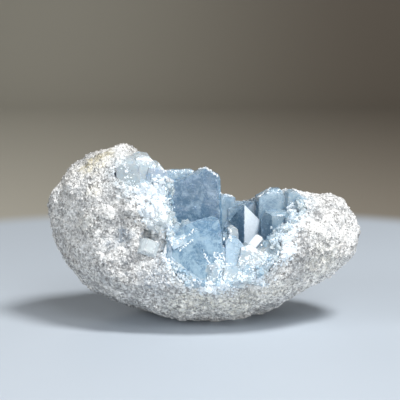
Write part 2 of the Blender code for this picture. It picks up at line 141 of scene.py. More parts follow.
# Patches of other tones on the rock, by tone: the middle of each in the photograph (pixels), its radius in
# millimetres, and its strength.
ROCK_PATCHES = {
    "white": (
        (85, 180, 9.0, 1.0), (110, 165, 5.0, 0.8), (135, 225, 6.0, 0.9), (80, 240, 6.0, 0.8),
        (130, 152, 5.0, 0.8), (84, 236, 4.5, 0.6), (131, 250, 4.5, 0.8), (150, 205, 5.0, 0.9),
        (100, 262, 4.0, 0.5), (154, 270, 2.0, 0.5), (320, 215, 11.0, 0.9), (300, 245, 7.0, 0.8),
        # The patch at (312, 268), on the lower right, is painted light: it makes a surface that faces down,
        # in shade, paler.
        (275, 280, 6.0, 0.6), (312, 268, 8.0, 1.0),
    ),
    "grey": (
        (113, 152, 3.2, 0.8), (117, 173, 2.4, 1.0), (107, 191, 2.8, 0.7), (108, 199, 3.2, 0.8),
        (61, 206, 2.8, 0.9), (117, 220, 4.0, 0.7), (92, 210, 3.0, 0.7), (80, 205, 3.0, 0.6),
        (128, 262, 4.0, 0.8), (110, 268, 3.5, 0.7), (140, 292, 4.0, 0.8), (92, 250, 3.0, 0.6),
        (145, 215, 2.0, 0.6), (125, 275, 9.0, 0.45), (118, 225, 9.0, 0.35),
    ),
    "blue": (
        (124, 237, 3.4, 0.9), (111, 245, 3.0, 0.6), (162, 262, 4.0, 0.9), (158, 281, 6.0, 0.9),
        (174, 284, 4.5, 0.8), (127, 305, 4.0, 0.6), (104, 280, 4.0, 0.5), (160, 285, 9.0, 0.7),
        (112, 300, 5.0, 0.5),
    ),
    "ochre": ((99, 158, 6.0, 1.3), (87, 166, 4.0, 0.9), (93, 190, 3.0, 0.3)),
    # Patches at the bottom: a warm tint, made pale as painted fill light for the shade there.
    "moss_and_painted_fill": (
        (205, 297, 11.0, 1.0), (240, 304, 10.0, 0.8), (180, 306, 8.0, 0.8), (275, 292, 7.0, 0.5),
        (322, 262, 9.0, 0.5), (84, 222, 5.0, 0.4),
    ),
    "brown": ((71, 256, 4.0, 0.5), (63, 236, 3.0, 0.4), (340, 272, 4.0, 0.4), (345, 245, 4.0, 0.3)),
}
ROCK_TONES = tuple(ROCK_PATCHES)

# The parts of a patch's radius between which it fades out.
PATCH_FADE = (0.5, 1.25)

# Tones that noise scatters, and the stains on the back: the strength, the noise values between which they
# set in, the noise, and the share of the fine noise.
SCATTERED = {
    "grey": (0.75, (0.12, 0.55), (10.0, 3.0), 0.6),
    "white": (0.7, (0.10, 0.5), (8.0, 23.0), 0.4),
}
STAINS = {
    "ochre": (0.5, (0.05, 0.4), (16.0, 53.0)),
    "moss_and_painted_fill": (0.6, (0.0, 0.4), (13.0, 67.0)),
}

# The small grains on the rock: how many there are, their least size and the mean extra one, how common
# they are (everywhere, what the break adds, what the edge of the hollow adds), and a seed.
GRAINS = {
    "rock_grains": (10000, 0.35, 0.35, (1.0, -0.8, 0.8), 5),
    "break_grains": (9500, 0.30, 0.40, (0.02, 1.0, 0.0), 6),
}
LARGEST_GRAIN = 2.6
LOWEST_GRAIN = 1.2
GRAIN_LEAN = 0.5
GRAIN_SPREAD = 1.4

# How far the finer crystals and the clear blocks stand out, the width of their worn edges, the depth and
# wavelength of the chips in these and of the faces' relief, and the longest edge of their mesh.
GROWN = 0.12
BLOCK_GROWN = 0.25
EDGE_WEAR = 0.22
EDGE_CHIP = 0.6
CHIP_WAVE = 1.3
FACE_RELIEF = 0.07
FACE_WAVE = 3.5
CRYSTAL_EDGE = 1.8
MOST_SPLITS = 6

# Crystals with a broken top: how deep the break is jagged, and how far down it reaches. They have a finer
# mesh, and the jags a wavelength of their own.
JAGGED = {
    "left_tall": (1.3, 7.5),
    "left_back": (1.6, 7.5),
    "right_tall": (0.7, 5.0),
    "small_back": (0.7, 3.75),
}
JAGGED_EDGE = 0.8
JAGGED_WAVE = 2.6

# The material of a crystal's worn edges, of its clear faces and of its opaque white ones, by number.
EDGE, FACE, WHITE = 0, 1, 2

# The tone of the crust's small crystals, from 0, deep blue, to 1, white, how near to a large crystal a
# place takes that one's tone, and how squarely a face looks a listed way to be the one that is meant.
CRUST_TONE = 0.5
TONE_REACH = 0.9
SAME_FACE = 0.9

# Single faces that differ from their crystal as painted light and shade: the crystal, the way that the face
# looks, and its tone.
LIT_AND_SHADED_FACES = (
    ("pointed", (0.707, -0.707, 0.0), 0.70),
    ("pointed", (0.4, 0.4, 0.8), 0.75),
    ("right_low", (-0.7, -0.7, 0.0), 0.10),
)

# Faces that are opaque white: the crystal and the way that the face looks. On the pointed crystal this is
# painted light.
WHITE_FACES = {"pointed": (0.707, -0.707, 0.0), "front_plate": (-0.3, -0.65, 0.7)}

# The middle of the part's box, in the coordinates that the crystals are listed in.
LISTED_MIDDLE = Vector((0.126, 3.43, 0.0))

# The large crystals as the solids have them: the tone, the middle of the top, the way the length points,
# the way the widest face looks, the width, depth and length, and the cuts. A cut is the direction round
# the length from the right-hand side, the tilt of its normal from the length, both in degrees, and its depth.
LARGE_CRYSTALS = (
    ("left_back", 0.50, (-9.6, 13.0, 56.0), (-0.02, 0.03, 1.0), (0.1, -1.0, 0.0), 13.0, 8.0, 30.0,
     ((0, 35, 1.2), (180, 25, 1.0), (-90, 40, 0.8), (90, 35, 1.5))),
    ("left_tall", 0.13, (-4.9, 7.6, 57.4), (-0.05, 0.04, 1.0), (0.04, -1.0, 0.05), 21.5, 11.5, 42.0,
     ((180, 22, 5.9), (0, 34, 3.1), (-45, 90, 0.8), (90, 30, 3.0))),
    ("left_side", 0.60, (-18.0, -2.0, 46.5), (0.1, -0.05, 1.0), (0.35, -1.0, 0.1), 6.5, 8.0, 20.0,
     ((180, 35, 1.8), (0, 25, 0.8), (-90, 35, 1.2))),
    ("front_fat", 0.27, (-3.6, -15.0, 41.4), (0.03, 0.36, 0.93), (-0.06, -0.93, 0.36), 22.0, 13.0, 25.5,
     ((180, 46, 8.4), (0, 50, 2.2), (180, 22, 2.1), (0, 20, 0.5), (-90, 40, 1.4), (0, 80, 1.2),
      (-135, 90, 1.5))),
    ("front_ledge", 0.52, (-7.8, -20.9, 36.7), (-0.44, 0.32, 0.82), (0.12, -0.92, 0.38), 12.5, 5.0, 4.4,
     ((-90, 50, 0.5), (0, 24, 1.4), (180, 30, 0.8))),
    ("front_fill", 0.70, (6.6, -22.0, 32.6), (0.06, 0.25, 0.97), (0.0, -1.0, 0.3), 4.6, 7.0, 14.0,
     ((0, 35, 0.8), (180, 40, 1.0), (-90, 35, 0.8))),
    ("pointed", 0.06, (15.8, 0.4, 45.6), (0.0, 0.03, 1.0), (-0.707, -0.707, 0.0), 7.0, 8.4, 28.0,
     ((138, 50, 8.7),)),
    ("pointed_white", 1.0, (10.6, -10.0, 37.6), (-0.05, -0.05, 1.0), (0.3, -1.0, 0.1), 3.2, 4.0, 14.0,
     ((0, 40, 0.8), (180, 35, 0.8))),
    ("small_back", 0.40, (9.0, 13.0, 46.2), (0.05, 0.05, 1.0), (0.2, -1.0, 0.0), 5.6, 6.0, 18.0,
     ((0, 30, 1.0), (180, 20, 0.6), (90, 40, 1.2))),
    ("ridge_back", 0.26, (16.0, 14.0, 43.4), (0.0, 0.1, 1.0), (0.0, -1.0, 0.1), 13.0, 9.0, 22.0,
     ((180, 16, 2.6), (0, 40, 1.5), (90, 30, 3.0))),
    ("right_tall", 0.34, (29.2, 8.0, 49.6), (0.02, 0.05, 1.0), (0.08, -1.0, 0.05), 17.0, 12.0, 34.0,
     ((180, 37, 3.0), (0, 57, 7.4), (90, 35, 3.0), (-90, 60, 0.8))),
    ("right_low", 0.36, (27.8, -2.0, 42.0), (-0.02, 0.05, 1.0), (-0.05, -1.0, 0.12), 12.0, 12.0, 28.0,
     ((225, 90, 3.0), (180, 60, 1.6), (0, 40, 1.8), (-90, 30, 0.8))),
    ("right_fill", 0.50, (33.2, -8.5, 42.8), (-0.2, -0.1, 1.0), (0.15, -1.0, 0.2), 6.5, 7.0, 14.0,
     ((0, 40, 1.4), (180, 35, 1.2), (-90, 40, 1.2))),
    ("right_front", 0.52, (31.9, -14.5, 39.4), (0.05, 0.1, 1.0), (-0.15, -1.0, 0.3), 8.4, 9.0, 20.0,
     ((0, 45, 2.4), (180, 35, 1.6), (-90, 40, 1.0))),
    ("front_peak", 0.42, (11.8, -21.0, 36.0), (0.02, 0.2, 0.98), (0.1, -0.97, 0.2), 8.6, 8.0, 16.0,
     ((0, 50, 3.8), (180, 48, 1.5), (-90, 30, 0.8))),
    ("front_plate", 0.95, (21.8, -15.0, 33.6), (0.62, 0.3, 0.72), (-0.3, -0.65, 0.7), 3.8, 5.0, 14.0,
     ((0, 35, 0.6), (180, 60, 0.4))),
    ("front_lump", 0.82, (19.6, -22.0, 32.4), (0.25, 0.1, 1.0), (0.15, -1.0, 0.25), 12.5, 10.0, 13.0,
     ((0, 42, 4.2), (180, 30, 1.4), (-90, 50, 1.5), (45, 60, 1.2), (0, 20, 1.0))),
    ("front_side", 0.66, (30.4, -20.0, 36.4), (0.25, 0.1, 1.0), (0.3, -1.0, 0.15), 7.0, 8.0, 14.0,
     ((0, 40, 1.8), (180, 30, 1.0), (-90, 35, 0.8))),
    ("front_base_a", 0.72, (4.6, -26.0, 28.0), (0.3, 0.15, 1.0), (0.7, -0.8, 0.3), 6.5, 7.0, 12.0,
     ((180, 40, 2.0), (0, 35, 1.2), (-90, 50, 1.2))),
    ("front_base_b", 0.66, (11.0, -24.2, 26.0), (0.05, 0.35, 1.0), (0.1, -1.0, 0.4), 8.0, 7.5, 9.0,
     ((180, 30, 1.2), (0, 40, 1.5), (-90, 50, 0.8))),
    ("front_base_c", 0.60, (17.6, -23.6, 26.0), (0.1, 0.4, 1.0), (0.3, -1.0, 0.4), 8.5, 7.0, 8.0,
     ((180, 30, 1.2), (0, 40, 1.5), (-90, 50, 0.8))),
    ("top_left_a", 0.88, (-27.6, -15.5, 64.0), (-0.05, -0.1, 1.0), (-0.15, -1.0, 0.1), 8.5, 8.5, 14.0,
     ((0, 38, 1.6), (180, 45, 2.2), (-90, 35, 1.2))),
    ("top_left_b", 0.84, (-21.5, -12.5, 65.0), (0.15, -0.05, 1.0), (0.2, -1.0, 0.05), 8.5, 9.5, 18.0,
     ((0, 42, 2.4), (180, 30, 1.0), (-90, 40, 1.2))),
    ("top_left_c", 0.70, (-17.6, -12.5, 61.6), (0.25, -0.1, 1.0), (0.35, -1.0, 0.15), 7.5, 9.0, 17.0,
     ((0, 35, 1.6), (180, 30, 0.8), (-90, 35, 0.8))),
    ("top_left_d", 0.80, (-23.5, -19.0, 55.5), (-0.15, -0.3, 1.0), (0.1, -1.0, 0.1), 8.5, 6.0, 9.0,
     ((0, 35, 1.5), (180, 45, 2.0))),
    ("top_left_e", 0.88, (-29.5, -17.5, 56.0), (-0.35, -0.2, 1.0), (-0.3, -1.0, 0.1), 5.5, 5.0, 9.0,
     ((0, 25, 0.8), (180, 40, 1.0))),
    ("rim_right_a", 0.55, (34.0, 2.0, 49.4), (0.05, 0.0, 1.0), (0.2, -1.0, 0.2), 4.6, 6.0, 12.0,
     ((180, 25, 0.8), (0, 40, 1.0))),
    ("rim_right_b", 0.6, (37.4, 0.5, 47.6), (0.2, 0.0, 1.0), (0.1, -1.0, 0.3), 4.6, 6.0, 12.0,
     ((0, 25, 0.8), (180, 50, 1.0))),
    ("rim_left_a", 0.6, (-14.2, -19.0, 42.0), (0.5, -0.25, 0.5), (0.2, -0.8, 0.5), 5.0, 4.5, 10.0,
     ((0, 35, 0.8), (180, 35, 0.8))),
)

# Blocks on the broken face: the middle of the end, the way the block points, and its width, depth and
# length. The gaps keep the print of a block, with blue walls. The clear blocks are made again as crystals.
# The rooms are how far from a block, a gap or a crystal a place still counts as in it.
FACE_BLOCKS = (
    ((-19.6, -26.6, 32.6), (0.35, -1.0, 0.3), 6.4, 5.4, 7.0),
    ((-25.0, -26.8, 25.6), (-0.3, -1.0, 0.5), 5.6, 4.6, 6.0),
    ((-14.6, -25.2, 43.2), (0.45, -1.0, 0.5), 5.2, 4.4, 7.0),
    ((-18.6, -24.4, 40.6), (-0.1, -1.0, 0.6), 5.2, 3.0, 6.0),
    ((-35.0, -24.0, 45.5), (0.2, -1.0, 0.7), 5.4, 4.2, 6.0),
    ((-26.0, -24.6, 47.5), (0.3, -1.0, 0.6), 5.0, 4.0, 5.0),
)
FACE_GAPS = (
    ((-22.0, -30.0, 37.2), (-0.25, -1.0, 0.25), 5.0, 4.4, 9.0),
    ((-14.8, -30.0, 33.0), (0.2, -1.0, 0.1), 2.2, 5.6, 7.0),
)
FACE_BLOCK_CUTS = ((0, 42, 1.1), (180, 35, 1.0), (90, 50, 0.8))
FACE_BLOCK_FACING = (0.4, 0.1, 1.0)
CLEAR_BLOCKS = (0, 2, 3)
BLOCK_ROOM = 0.3
GAP_ROOM = 0.7
GAP_FLOOR_FACING = -0.95
CRYSTAL_ROOM = 0.4

# White sugar on the crystals and round them, as streaks in the photograph: the start and the end of the
# streak and its width (pixels), how many grains, their size in millimetres, and their tone.
SUGAR_STREAKS = (
    (170, 246, 197, 229, 1.6, 60, 0.28, 0.9), (178, 251, 194, 239, 1.4, 44, 0.28, 0.95),
    (204, 252, 212, 270, 2.4, 60, 0.28, 0.95), (218, 254, 224, 285, 6.0, 300, 0.34, 0.75),
    (200, 284, 232, 288, 6.0, 300, 0.44, 0.85), (200, 289, 216, 290, 4.0, 160, 0.50, 0.85),
    (158, 178, 166, 214, 7.0, 300, 0.60, 0.8), (150, 190, 160, 212, 9.0, 300, 0.75, 0.9),
    (140, 196, 150, 220, 9.0, 200, 0.80, 0.9), (152, 215, 170, 225, 4.0, 150, 0.60, 0.9),
    (163, 222, 172, 240, 4.0, 120, 0.50, 0.6), (166, 262, 192, 288, 4.0, 220, 0.50, 0.7),
    (240, 262, 270, 262, 9.0, 150, 0.36, 0.85), (236, 276, 268, 282, 6.0, 260, 0.44, 0.75),
    (262, 258, 284, 260, 6.0, 200, 0.42, 0.7), (274, 240, 292, 232, 9.0, 360, 0.42, 0.55),
    (280, 262, 292, 246, 6.0, 260, 0.50, 0.8), (290, 209, 304, 206, 5.0, 260, 0.50, 0.85),
    (286, 228, 302, 216, 6.0, 220, 0.48, 0.65), (277, 215.5, 283, 215.5, 0.8, 16, 0.34, 1.0),
    (193, 170, 205, 167.5, 0.8, 30, 0.36, 1.0), (205, 167.5, 218, 176, 0.8, 44, 0.36, 1.0),
    (163, 171, 192, 170, 1.2, 60, 0.36, 0.9), (221, 193, 232, 196, 1.2, 34, 0.38, 0.95),
    (258, 197, 271, 188, 1.0, 30, 0.34, 0.9), (229, 228, 231, 243, 2.0, 40, 0.38, 1.0),
    (122, 160, 135, 190, 4.0, 60, 0.40, 0.85), (135, 192, 156, 190, 5.0, 200, 0.50, 0.85),
    (140, 160, 158, 168, 3.0, 40, 0.38, 0.9),
)

# How the small blocks are cut: fractions of a block one wide, deep and long.
GRAIN_CUTS = (
    ((0, 50, 0.25), (140, 60, 0.2), (250, 45, 0.3)),
    ((30, 40, 0.3), (200, 70, 0.25)),
    ((90, 35, 0.35), (300, 55, 0.2), (180, 80, 0.15)),
)
ROCK_CUTS = (
    ((20, 52, 0.34), (200, 60, 0.22)),
    ((70, 45, 0.42),),
    ((140, 38, 0.30), (320, 62, 0.26)),
)
CRYSTAL_CUTS = (
    ((0, 42, 0.30), (180, 42, 0.30), (90, 60, 0.12)),
    ((0, 35, 0.22), (180, 50, 0.34), (-90, 50, 0.15)),
    ((0, 48, 0.36), (90, 45, 0.2), (200, 75, 0.12)),
)

# The small crystals on the lining: how many are tried, how far from the rock they start and how far that
# is measured, how deep they are sunk, how much they lean, their widths and the spread of these, and a seed.
DRUSE_COUNT = 11000
DRUSE_ROOM = 0.3
DRUSE_REACH = 3.0
DRUSE_SUNK = 0.25
DRUSE_LEAN = 0.45
DRUSE_WIDTHS = (0.4, 1.8)
DRUSE_SPREAD = (2.5, 0.34)
DRUSE_SEED = 8

# The spread of the sugar grains' sizes, how deep they are sunk, in sizes, how much they lean, and a seed.
SUGAR_SPREAD = (4.0, 0.25)
SUGAR_SUNK = 0.2
SUGAR_LEAN = 0.7
SUGAR_SEED = 21


def rgb(red, green, blue):
    return (red, green, blue, 1.0)


# The tones that the rock's patches have, and how much of each covers the stone at most.
TONE_COLOURS = {
    "grey": (rgb(0.23, 0.25, 0.275), 0.95),
    "blue": (rgb(0.22, 0.285, 0.36), 0.95),
    "ochre": (rgb(0.70, 0.62, 0.36), 0.9),
    # A warm moss tint, made pale as painted fill light.
    "moss_and_painted_fill": (rgb(0.93, 0.92, 0.82), 0.85),
    "brown": (rgb(0.36, 0.30, 0.27), 0.65),
}
STONE_WHITE = rgb(0.87, 0.88, 0.88)
STONE_CLEAN = rgb(0.96, 0.965, 0.96)
STONE_MOTTLE = rgb(0.38, 0.405, 0.43)
STONE_RIND = rgb(0.90, 0.89, 0.85)
# Painted fill light: faces turned down are made paler and creamier, for the shade that they lie in.
PAINTED_FILL_UNDER = rgb(0.97, 0.965, 0.94)
STONE_LINE = rgb(0.22, 0.205, 0.19)
STONE_RIM = rgb(0.92, 0.93, 0.93)
STONE_LINING = rgb(0.76, 0.85, 0.92)
DARK_GRAIN = rgb(0.20, 0.20, 0.20)
DARK_SPECK = rgb(0.22, 0.22, 0.22)
# Dark blotches below: partly the stone's specks, partly painted shade.
DARK_BLOTCH_AND_SHADE = rgb(0.26, 0.265, 0.27)
DARK_PIT = rgb(0.17, 0.17, 0.165)
# Painted shade in the rock's low seams and pits.
PAINTED_RECESS_SHADE = rgb(0.24, 0.24, 0.24)
BRIGHT_GRAIN = rgb(0.95, 0.96, 0.97)

# The crystals: the deepest, middle and palest blue, and the colour that they give to light inside. Worn
# edges are milky and faces are clear. The stretches turn and squeeze the noise of the veils and striae.
MILKY_BLUES = (rgb(0.25, 0.41, 0.57), rgb(0.58, 0.77, 0.92), rgb(0.91, 0.98, 1.0))
CLEAR_BLUES = (rgb(0.19, 0.36, 0.54), rgb(0.54, 0.76, 0.93), rgb(0.86, 0.96, 1.0))
MILKY_INSIDE = rgb(0.65, 0.84, 0.95)
CLEAR_INSIDE = rgb(0.60, 0.82, 0.95)
TRANSMISSION = 0.5
CELESTITE_IOR = 1.62
ABSORB_DENSITY = 15.0
VEIL_STRETCH = ((0.5, 0.9, 0.3), (1.0, 0.22, 1.0))
STRIA_STRETCH = ((0.2, 0.1, 0.0), (1.0, 1.0, 5.0))
SUGAR_BLUE = rgb(0.48, 0.64, 0.78)
SUGAR_WHITE = rgb(0.90, 0.95, 0.99)
SUGAR_SHADE = rgb(0.60, 0.70, 0.78)

# The floor, in metres: half its width, its front and back, the sweep's radius and steps, and the wall's
# height. Its tones change between the rings round the part, and from the left side to the right one.
FLOOR_HALF = 2.2
FLOOR_FRONT = -1.6
FLOOR_BACK = 0.9
SWEEP = 0.35
SWEEP_STEPS = 12
WALL_TOP = 2.5
FLOOR_MIDDLE = rgb(0.485, 0.545, 0.615)
FLOOR_LEFT = rgb(0.42, 0.40, 0.338)
FLOOR_RIGHT = rgb(0.190, 0.164, 0.132)
FLOOR_RINGS = (0.22, 0.262)
FLOOR_SIDES = (-0.24, 0.24)
FLOOR_ROUGHNESS = 0.5

# The lights: the place, what each is aimed at and its width, in metres, its power, and its colour.
LIGHTS = {
    "key": ((0.32, -0.26, 0.85), (0, 0, 0.03), 0.28, 8.6, (1.0, 0.985, 0.965)),
    "side": ((0.72, -0.60, 0.14), (0, 0, 0.03), 0.5, 2.2, (1.0, 1.0, 1.0)),
    "front": ((0.26, -0.72, 0.80), (0, 0, 0.04), 0.45, 2.4, (0.98, 0.99, 1.0)),
    "low": ((0.30, -0.88, 0.15), (0, 0, 0.03), 0.6, 2.8, (1.0, 0.985, 0.95)),
    "left": ((-0.78, -0.42, 0.40), (0, 0, 0.05), 0.35, 2.6, (0.98, 0.99, 1.0)),
    "back": ((-0.25, 0.80, 0.60), (0, 0, 0.04), 0.5, 0.5, (1.0, 0.99, 0.97)),
}
WORLD_COLOUR = rgb(0.90, 0.94, 1.0)
WORLD_STRENGTH = 0.08


def linked(name, data):
    """A new object in the scene."""
    obj = bpy.data.objects.new(name, data)
    bpy.context.scene.collection.objects.link(obj)
    return obj


def mesh_of(bm, name):
    """A new mesh with a bmesh's faces. The bmesh goes."""
    mesh = bpy.data.meshes.new(name)
    bm.to_mesh(mesh)
    bm.free()
    return mesh


def welded(node, name):
    """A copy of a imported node, with the vertices that its file splits joined again."""
    bm = bmesh.new()
    bm.from_mesh(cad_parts[node].data)
    bmesh.ops.remove_doubles(bm, verts=bm.verts, dist=WELD_REACH)
    for face in bm.faces:
        face.smooth = False
    return linked(name, mesh_of(bm, name))


def baked(obj, name):
    """A new object with the mesh that obj's modifiers make. obj goes."""
    bpy.context.view_layer.update()
    graph = bpy.context.evaluated_depsgraph_get()
    mesh = bpy.data.meshes.new_from_object(obj.evaluated_get(graph))
    mesh.name = name
    bpy.data.objects.remove(obj, do_unlink=True)
    return linked(name, mesh)


def tree_of(obj):
    """A tree of an object's faces, for finding the nearest one or the first on a ray."""
    bpy.context.view_layer.update()
    return BVHTree.FromObject(obj, bpy.context.evaluated_depsgraph_get())


def rows_of(data, key):
    """The vectors that a mesh's list has under key, one in each row."""
    flat = np.empty(len(data) * 3, np.float32)
    data.foreach_get(key, flat)
    return flat.reshape(-1, 3).astype(float)


def coordinates(mesh):
    """The vertices' places, in millimetres."""
    return rows_of(mesh.vertices, "co") / MM


def set_coordinates(mesh, places):
    mesh.vertices.foreach_set("co", (places * MM).astype(np.float32).ravel())
    mesh.update()


def set_attribute(mesh, name, values):
    """Stores a number for each vertex, for the material to read."""
    attribute = mesh.attributes.new(name, "FLOAT", "POINT")
    attribute.data.foreach_set("value", np.asarray(values, np.float32))


def get_attribute(mesh, name):
    values = np.empty(len(mesh.vertices), np.float32)
    mesh.attributes[name].data.foreach_get("value", values)
    return values


def smooth_step(low, high, values):
    """0 up to low, 1 from high on, and a smooth rise between. low may be the larger one."""
    t = np.clip((np.asarray(values, float) - low) / (high - low), 0, 1)
    return t * t * (3 - 2 * t)


def noise_at(places, wavelength, shift=0.0):
    """Smooth noise, from about -1 to 1, at each place."""
    scaled = places / wavelength + shift
    return np.array([noise.noise(p) for p in scaled])


def facets_at(places, size):
    """A pattern of irregular cells with flat tilted tops.

    It gives how far each place is up its cell's slope, the cell's level from 0 to 1, and the depth
    inside the cell.
    """
    slope = np.empty(len(places))
    level = np.empty(len(places))
    depth = np.empty(len(places))
    for i, p in enumerate(places / size):
        distances, points = noise.voronoi(p)
        middle = points[0]
        tilt = noise.cell_vector(middle * TILT_KEY)
        slope[i] = (p[0] - middle[0]) * (tilt[0] - 0.5) + (p[1] - middle[1]) * (tilt[1] - 0.5)
        slope[i] += (p[2] - middle[2]) * (tilt[2] - 0.5)
        level[i] = noise.cell(middle * LEVEL_KEY)
        depth[i] = distances[1] - distances[0]
    return slope, level, depth


def distance_to(tree, places, reach):
    """How far each place is from a mesh, up to reach, in millimetres."""
    found = np.full(len(places), reach)
    for i, p in enumerate(places):
        hit = tree.find_nearest(p * MM, reach * MM)
        if hit[0] is not None:
            found[i] = hit[3] / MM
    return found


def camera_view():
    """Where the camera stands, in metres, the way it looks, and the way that is up in its picture."""
    down = math.radians(CAMERA_ELEVATION)
    look = Vector((0, math.cos(down), -math.sin(down)))
    up = Vector((0, math.sin(down), math.cos(down)))
    return (CAMERA_TARGET - look * CAMERA_DISTANCE) * MM, look, up


def photo_spot(trees, px, py):
    """The first place on the trees' faces that the camera sees through a pixel, and the way it faces."""
    start, look, up = camera_view()
    focal = CAMERA_LENS / CAMERA_SENSOR * PHOTO_SIZE
    half = PHOTO_SIZE / 2
    way = (look + Vector((1, 0, 0)) * (px - half) / focal + up * (half - py) / focal).normalized()
    hits = [tree.ray_cast(start, way) for tree in trees]
    hits = [hit for hit in hits if hit[0] is not None]
    if not hits:
        return None
    place, normal, _, _ = min(hits, key=lambda hit: hit[3])
    return np.array(place) / MM, np.array(normal)


def patch_masks(places, trees):
    """For each rock tone, how strongly the patches of that tone cover each place."""
    ragged = 1 + 0.45 * noise_at(places, *RAGGED_NOISE) + 0.25 * noise_at(places, *FRAYED_NOISE)
    inner, outer = PATCH_FADE
    masks = {}
    for tone, patches in ROCK_PATCHES.items():
        masks[tone] = np.zeros(len(places))
        for px, py, radius, strength in patches:
            spot = photo_spot(trees, px, py)
            if spot is None:
                continue
            near = np.linalg.norm(places - spot[0], axis=1) * ragged
            cover = np.minimum(1.0, strength * (1 - smooth_step(inner * radius, outer * radius, near)))
            masks[tone] = np.maximum(masks[tone], cover)
    return masks


def frame_of(top, axis, facing):
    """The matrix that puts a block's top at a listed place, its length along axis and its front towards
    facing."""
    up = Vector(axis).normalized()
    back = -Vector(facing)
    back = (back - up * back.dot(up)).normalized()
    right = back.cross(up)
    turn = Matrix((right, back, up)).transposed().to_4x4()
    return Matrix.Translation(Vector(top) - LISTED_MIDDLE) @ turn


def in_block(places, top, axis, facing, width, depth, length, room):
    """Whether each place lies in a block, or within room of it."""
    back = np.array(frame_of(top, axis, facing).inverted())
    local = places @ back[:3, :3].T + back[:3, 3]
    inside = (np.abs(local[:, 0]) < width / 2 + room) & (np.abs(local[:, 1]) < depth / 2 + room)
    return inside & (local[:, 2] < room) & (local[:, 2] > -length - room)


def in_face_blocks(places, blocks, room):
    """Whether each place lies in one of the blocks on the broken face, or within room of it."""
    found = np.zeros(len(places), bool)
    for top, axis, *sizes in blocks:
        found |= in_block(places, top, axis, FACE_BLOCK_FACING, *sizes, room)
    return found


def rock_relief(places, normals):
    """How far the rock's lumps, grains and pits stand out, and how low each place lies among them, which the
    material darkens as painted shade.
    """
    height = np.zeros(len(places))
    for wavelength, size in ROCK_LUMPS:
        height += size * noise_at(places, wavelength)
    low_spots = np.zeros(len(places))
    coarse = 0.75 + 0.5 * noise_at(places, *COARSE_NOISE)
    for size, tall, tilt in ROCK_GRAINS:
        slope, level, depth = facets_at(places + FACET_OFFSET * normals, size)
        height += coarse * (tilt * size * slope * 2 + tall * (2 * level - 1) * smooth_step(0.0, 0.2, depth))
        low_spots += 0.5 * (1 - smooth_step(0.0, 0.16, depth)) * (level < LOW_LEVEL)
    pits = smooth_step(*PIT_ONSET, noise_at(places, *PIT_NOISE))
    pits = pits * smooth_step(*PITTED_ONSET, noise_at(places, *PITTED_NOISE))
    height -= PIT_DEPTH * pits
    height -= ROCK_SUNK
    return height, np.clip(low_spots + pits, 0, 1)


def tone_masks(places, normals, fine, trees):
    """How strongly each rock tone covers each place: patches, tones that noise scatters, and stains."""
    masks = patch_masks(places, trees)
    for tone, (strength, onset, spread, fine_share) in SCATTERED.items():
        cover = strength * smooth_step(*onset, noise_at(places, *spread) + fine_share * fine)
        masks[tone] = np.maximum(masks[tone], cover)
    back = smooth_step(*STAINED_FACING, normals[:, 1])
    for tone, (strength, onset, spread) in STAINS.items():
        cover = strength * back * smooth_step(*onset, noise_at(places, *spread))
        masks[tone] = np.maximum(masks[tone], cover)
    return masks


def rock_marks(places, normals, from_crust, trees):
    """The numbers that the rock's material and its grains read, by name."""
    facing_break = normals @ (BREAK_FACING / np.linalg.norm(BREAK_FACING))
    left = smooth_step(*BROKEN_END, places[:, 0])
    behind = smooth_step(*BEHIND_FACING, normals[:, 1])
    rind = smooth_step(*RIND_END, places[:, 0]) * smooth_step(*RIND_FACING, facing_break)
    fine = noise_at(places, *FINE_NOISE)
    in_gaps = in_face_blocks(places, FACE_GAPS, GAP_ROOM)
    marks = tone_masks(places, normals, fine, trees)
    marks["blue"] = np.maximum(marks["blue"], in_gaps * (normals[:, 1] > GAP_FLOOR_FACING))
    marks["lined"] = rind * (1 - behind)
    marks["rind"] = np.maximum(rind, BACK_RIND * behind)
    # Faces turned down: they get painted fill light, and dark blotches that stand partly for shade.
    marks["under"] = smooth_step(*UNDER_FACING, normals[:, 2])
    marks["band"] = (places - BREAK_PLACE) @ BREAK_FACING + BAND_WAVER * fine
    marks["rim"] = left * np.exp(-(((facing_break - RIM_FACING) / RIM_WIDTH) ** 2))
    marks["hollow"] = 1 - smooth_step(*HOLLOW_REACH, from_crust * (1 + 0.5 * fine))
    marks["hidden"] = (from_crust < HIDDEN_REACH) | in_gaps
    marks["broken"] = left * smooth_step(*BROKEN_FACING, facing_break)
    marks["grain"] = np.full(len(places), 0.5)
    return marks


def make_rock(trees):
    """The rock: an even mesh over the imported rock, with its lumps, flat-faced grains and pits."""
    solid = welded("rock_shell", "rock_solid")
    remesh = solid.modifiers.new("even", "REMESH")
    remesh.mode = "VOXEL"
    remesh.voxel_size = ROCK_SPACING * MM
    rock = baked(solid, "rock_even")
    mesh = rock.data
    places = coordinates(mesh)
    normals = rows_of(mesh.vertex_normals, "vector")
    from_crust = distance_to(trees[1], places, CRUST_REACH)
    in_blocks = in_face_blocks(places, FACE_BLOCKS, BLOCK_ROOM)
    height, recess_shade = rock_relief(places, normals)
    height *= np.where(in_blocks, BLOCK_RELIEF, 1.0)
    height = np.where(from_crust < HIDDEN_REACH, np.minimum(height, -CRUST_GAP), height)
    height *= smooth_step(*FLAT_SPOT, places[:, 2])
    set_coordinates(mesh, np.clip(places + normals * height[:, None], LOW, HIGH))
    marks = rock_marks(places, normals, from_crust, trees)
    # Painted shade: the low seams between grains and the pits are darkened, except on the face's blocks.
    marks["recess_shade"] = recess_shade * ~in_blocks
    for name, values in marks.items():
        set_attribute(mesh, name, values)
    thin = rock.modifiers.new("thin", "DECIMATE")
    thin.ratio = min(1.0, ROCK_TRIANGLES / (2 * len(mesh.polygons)))
    rock = baked(rock, "rock")
    rock.data.shade_flat()
    return rock


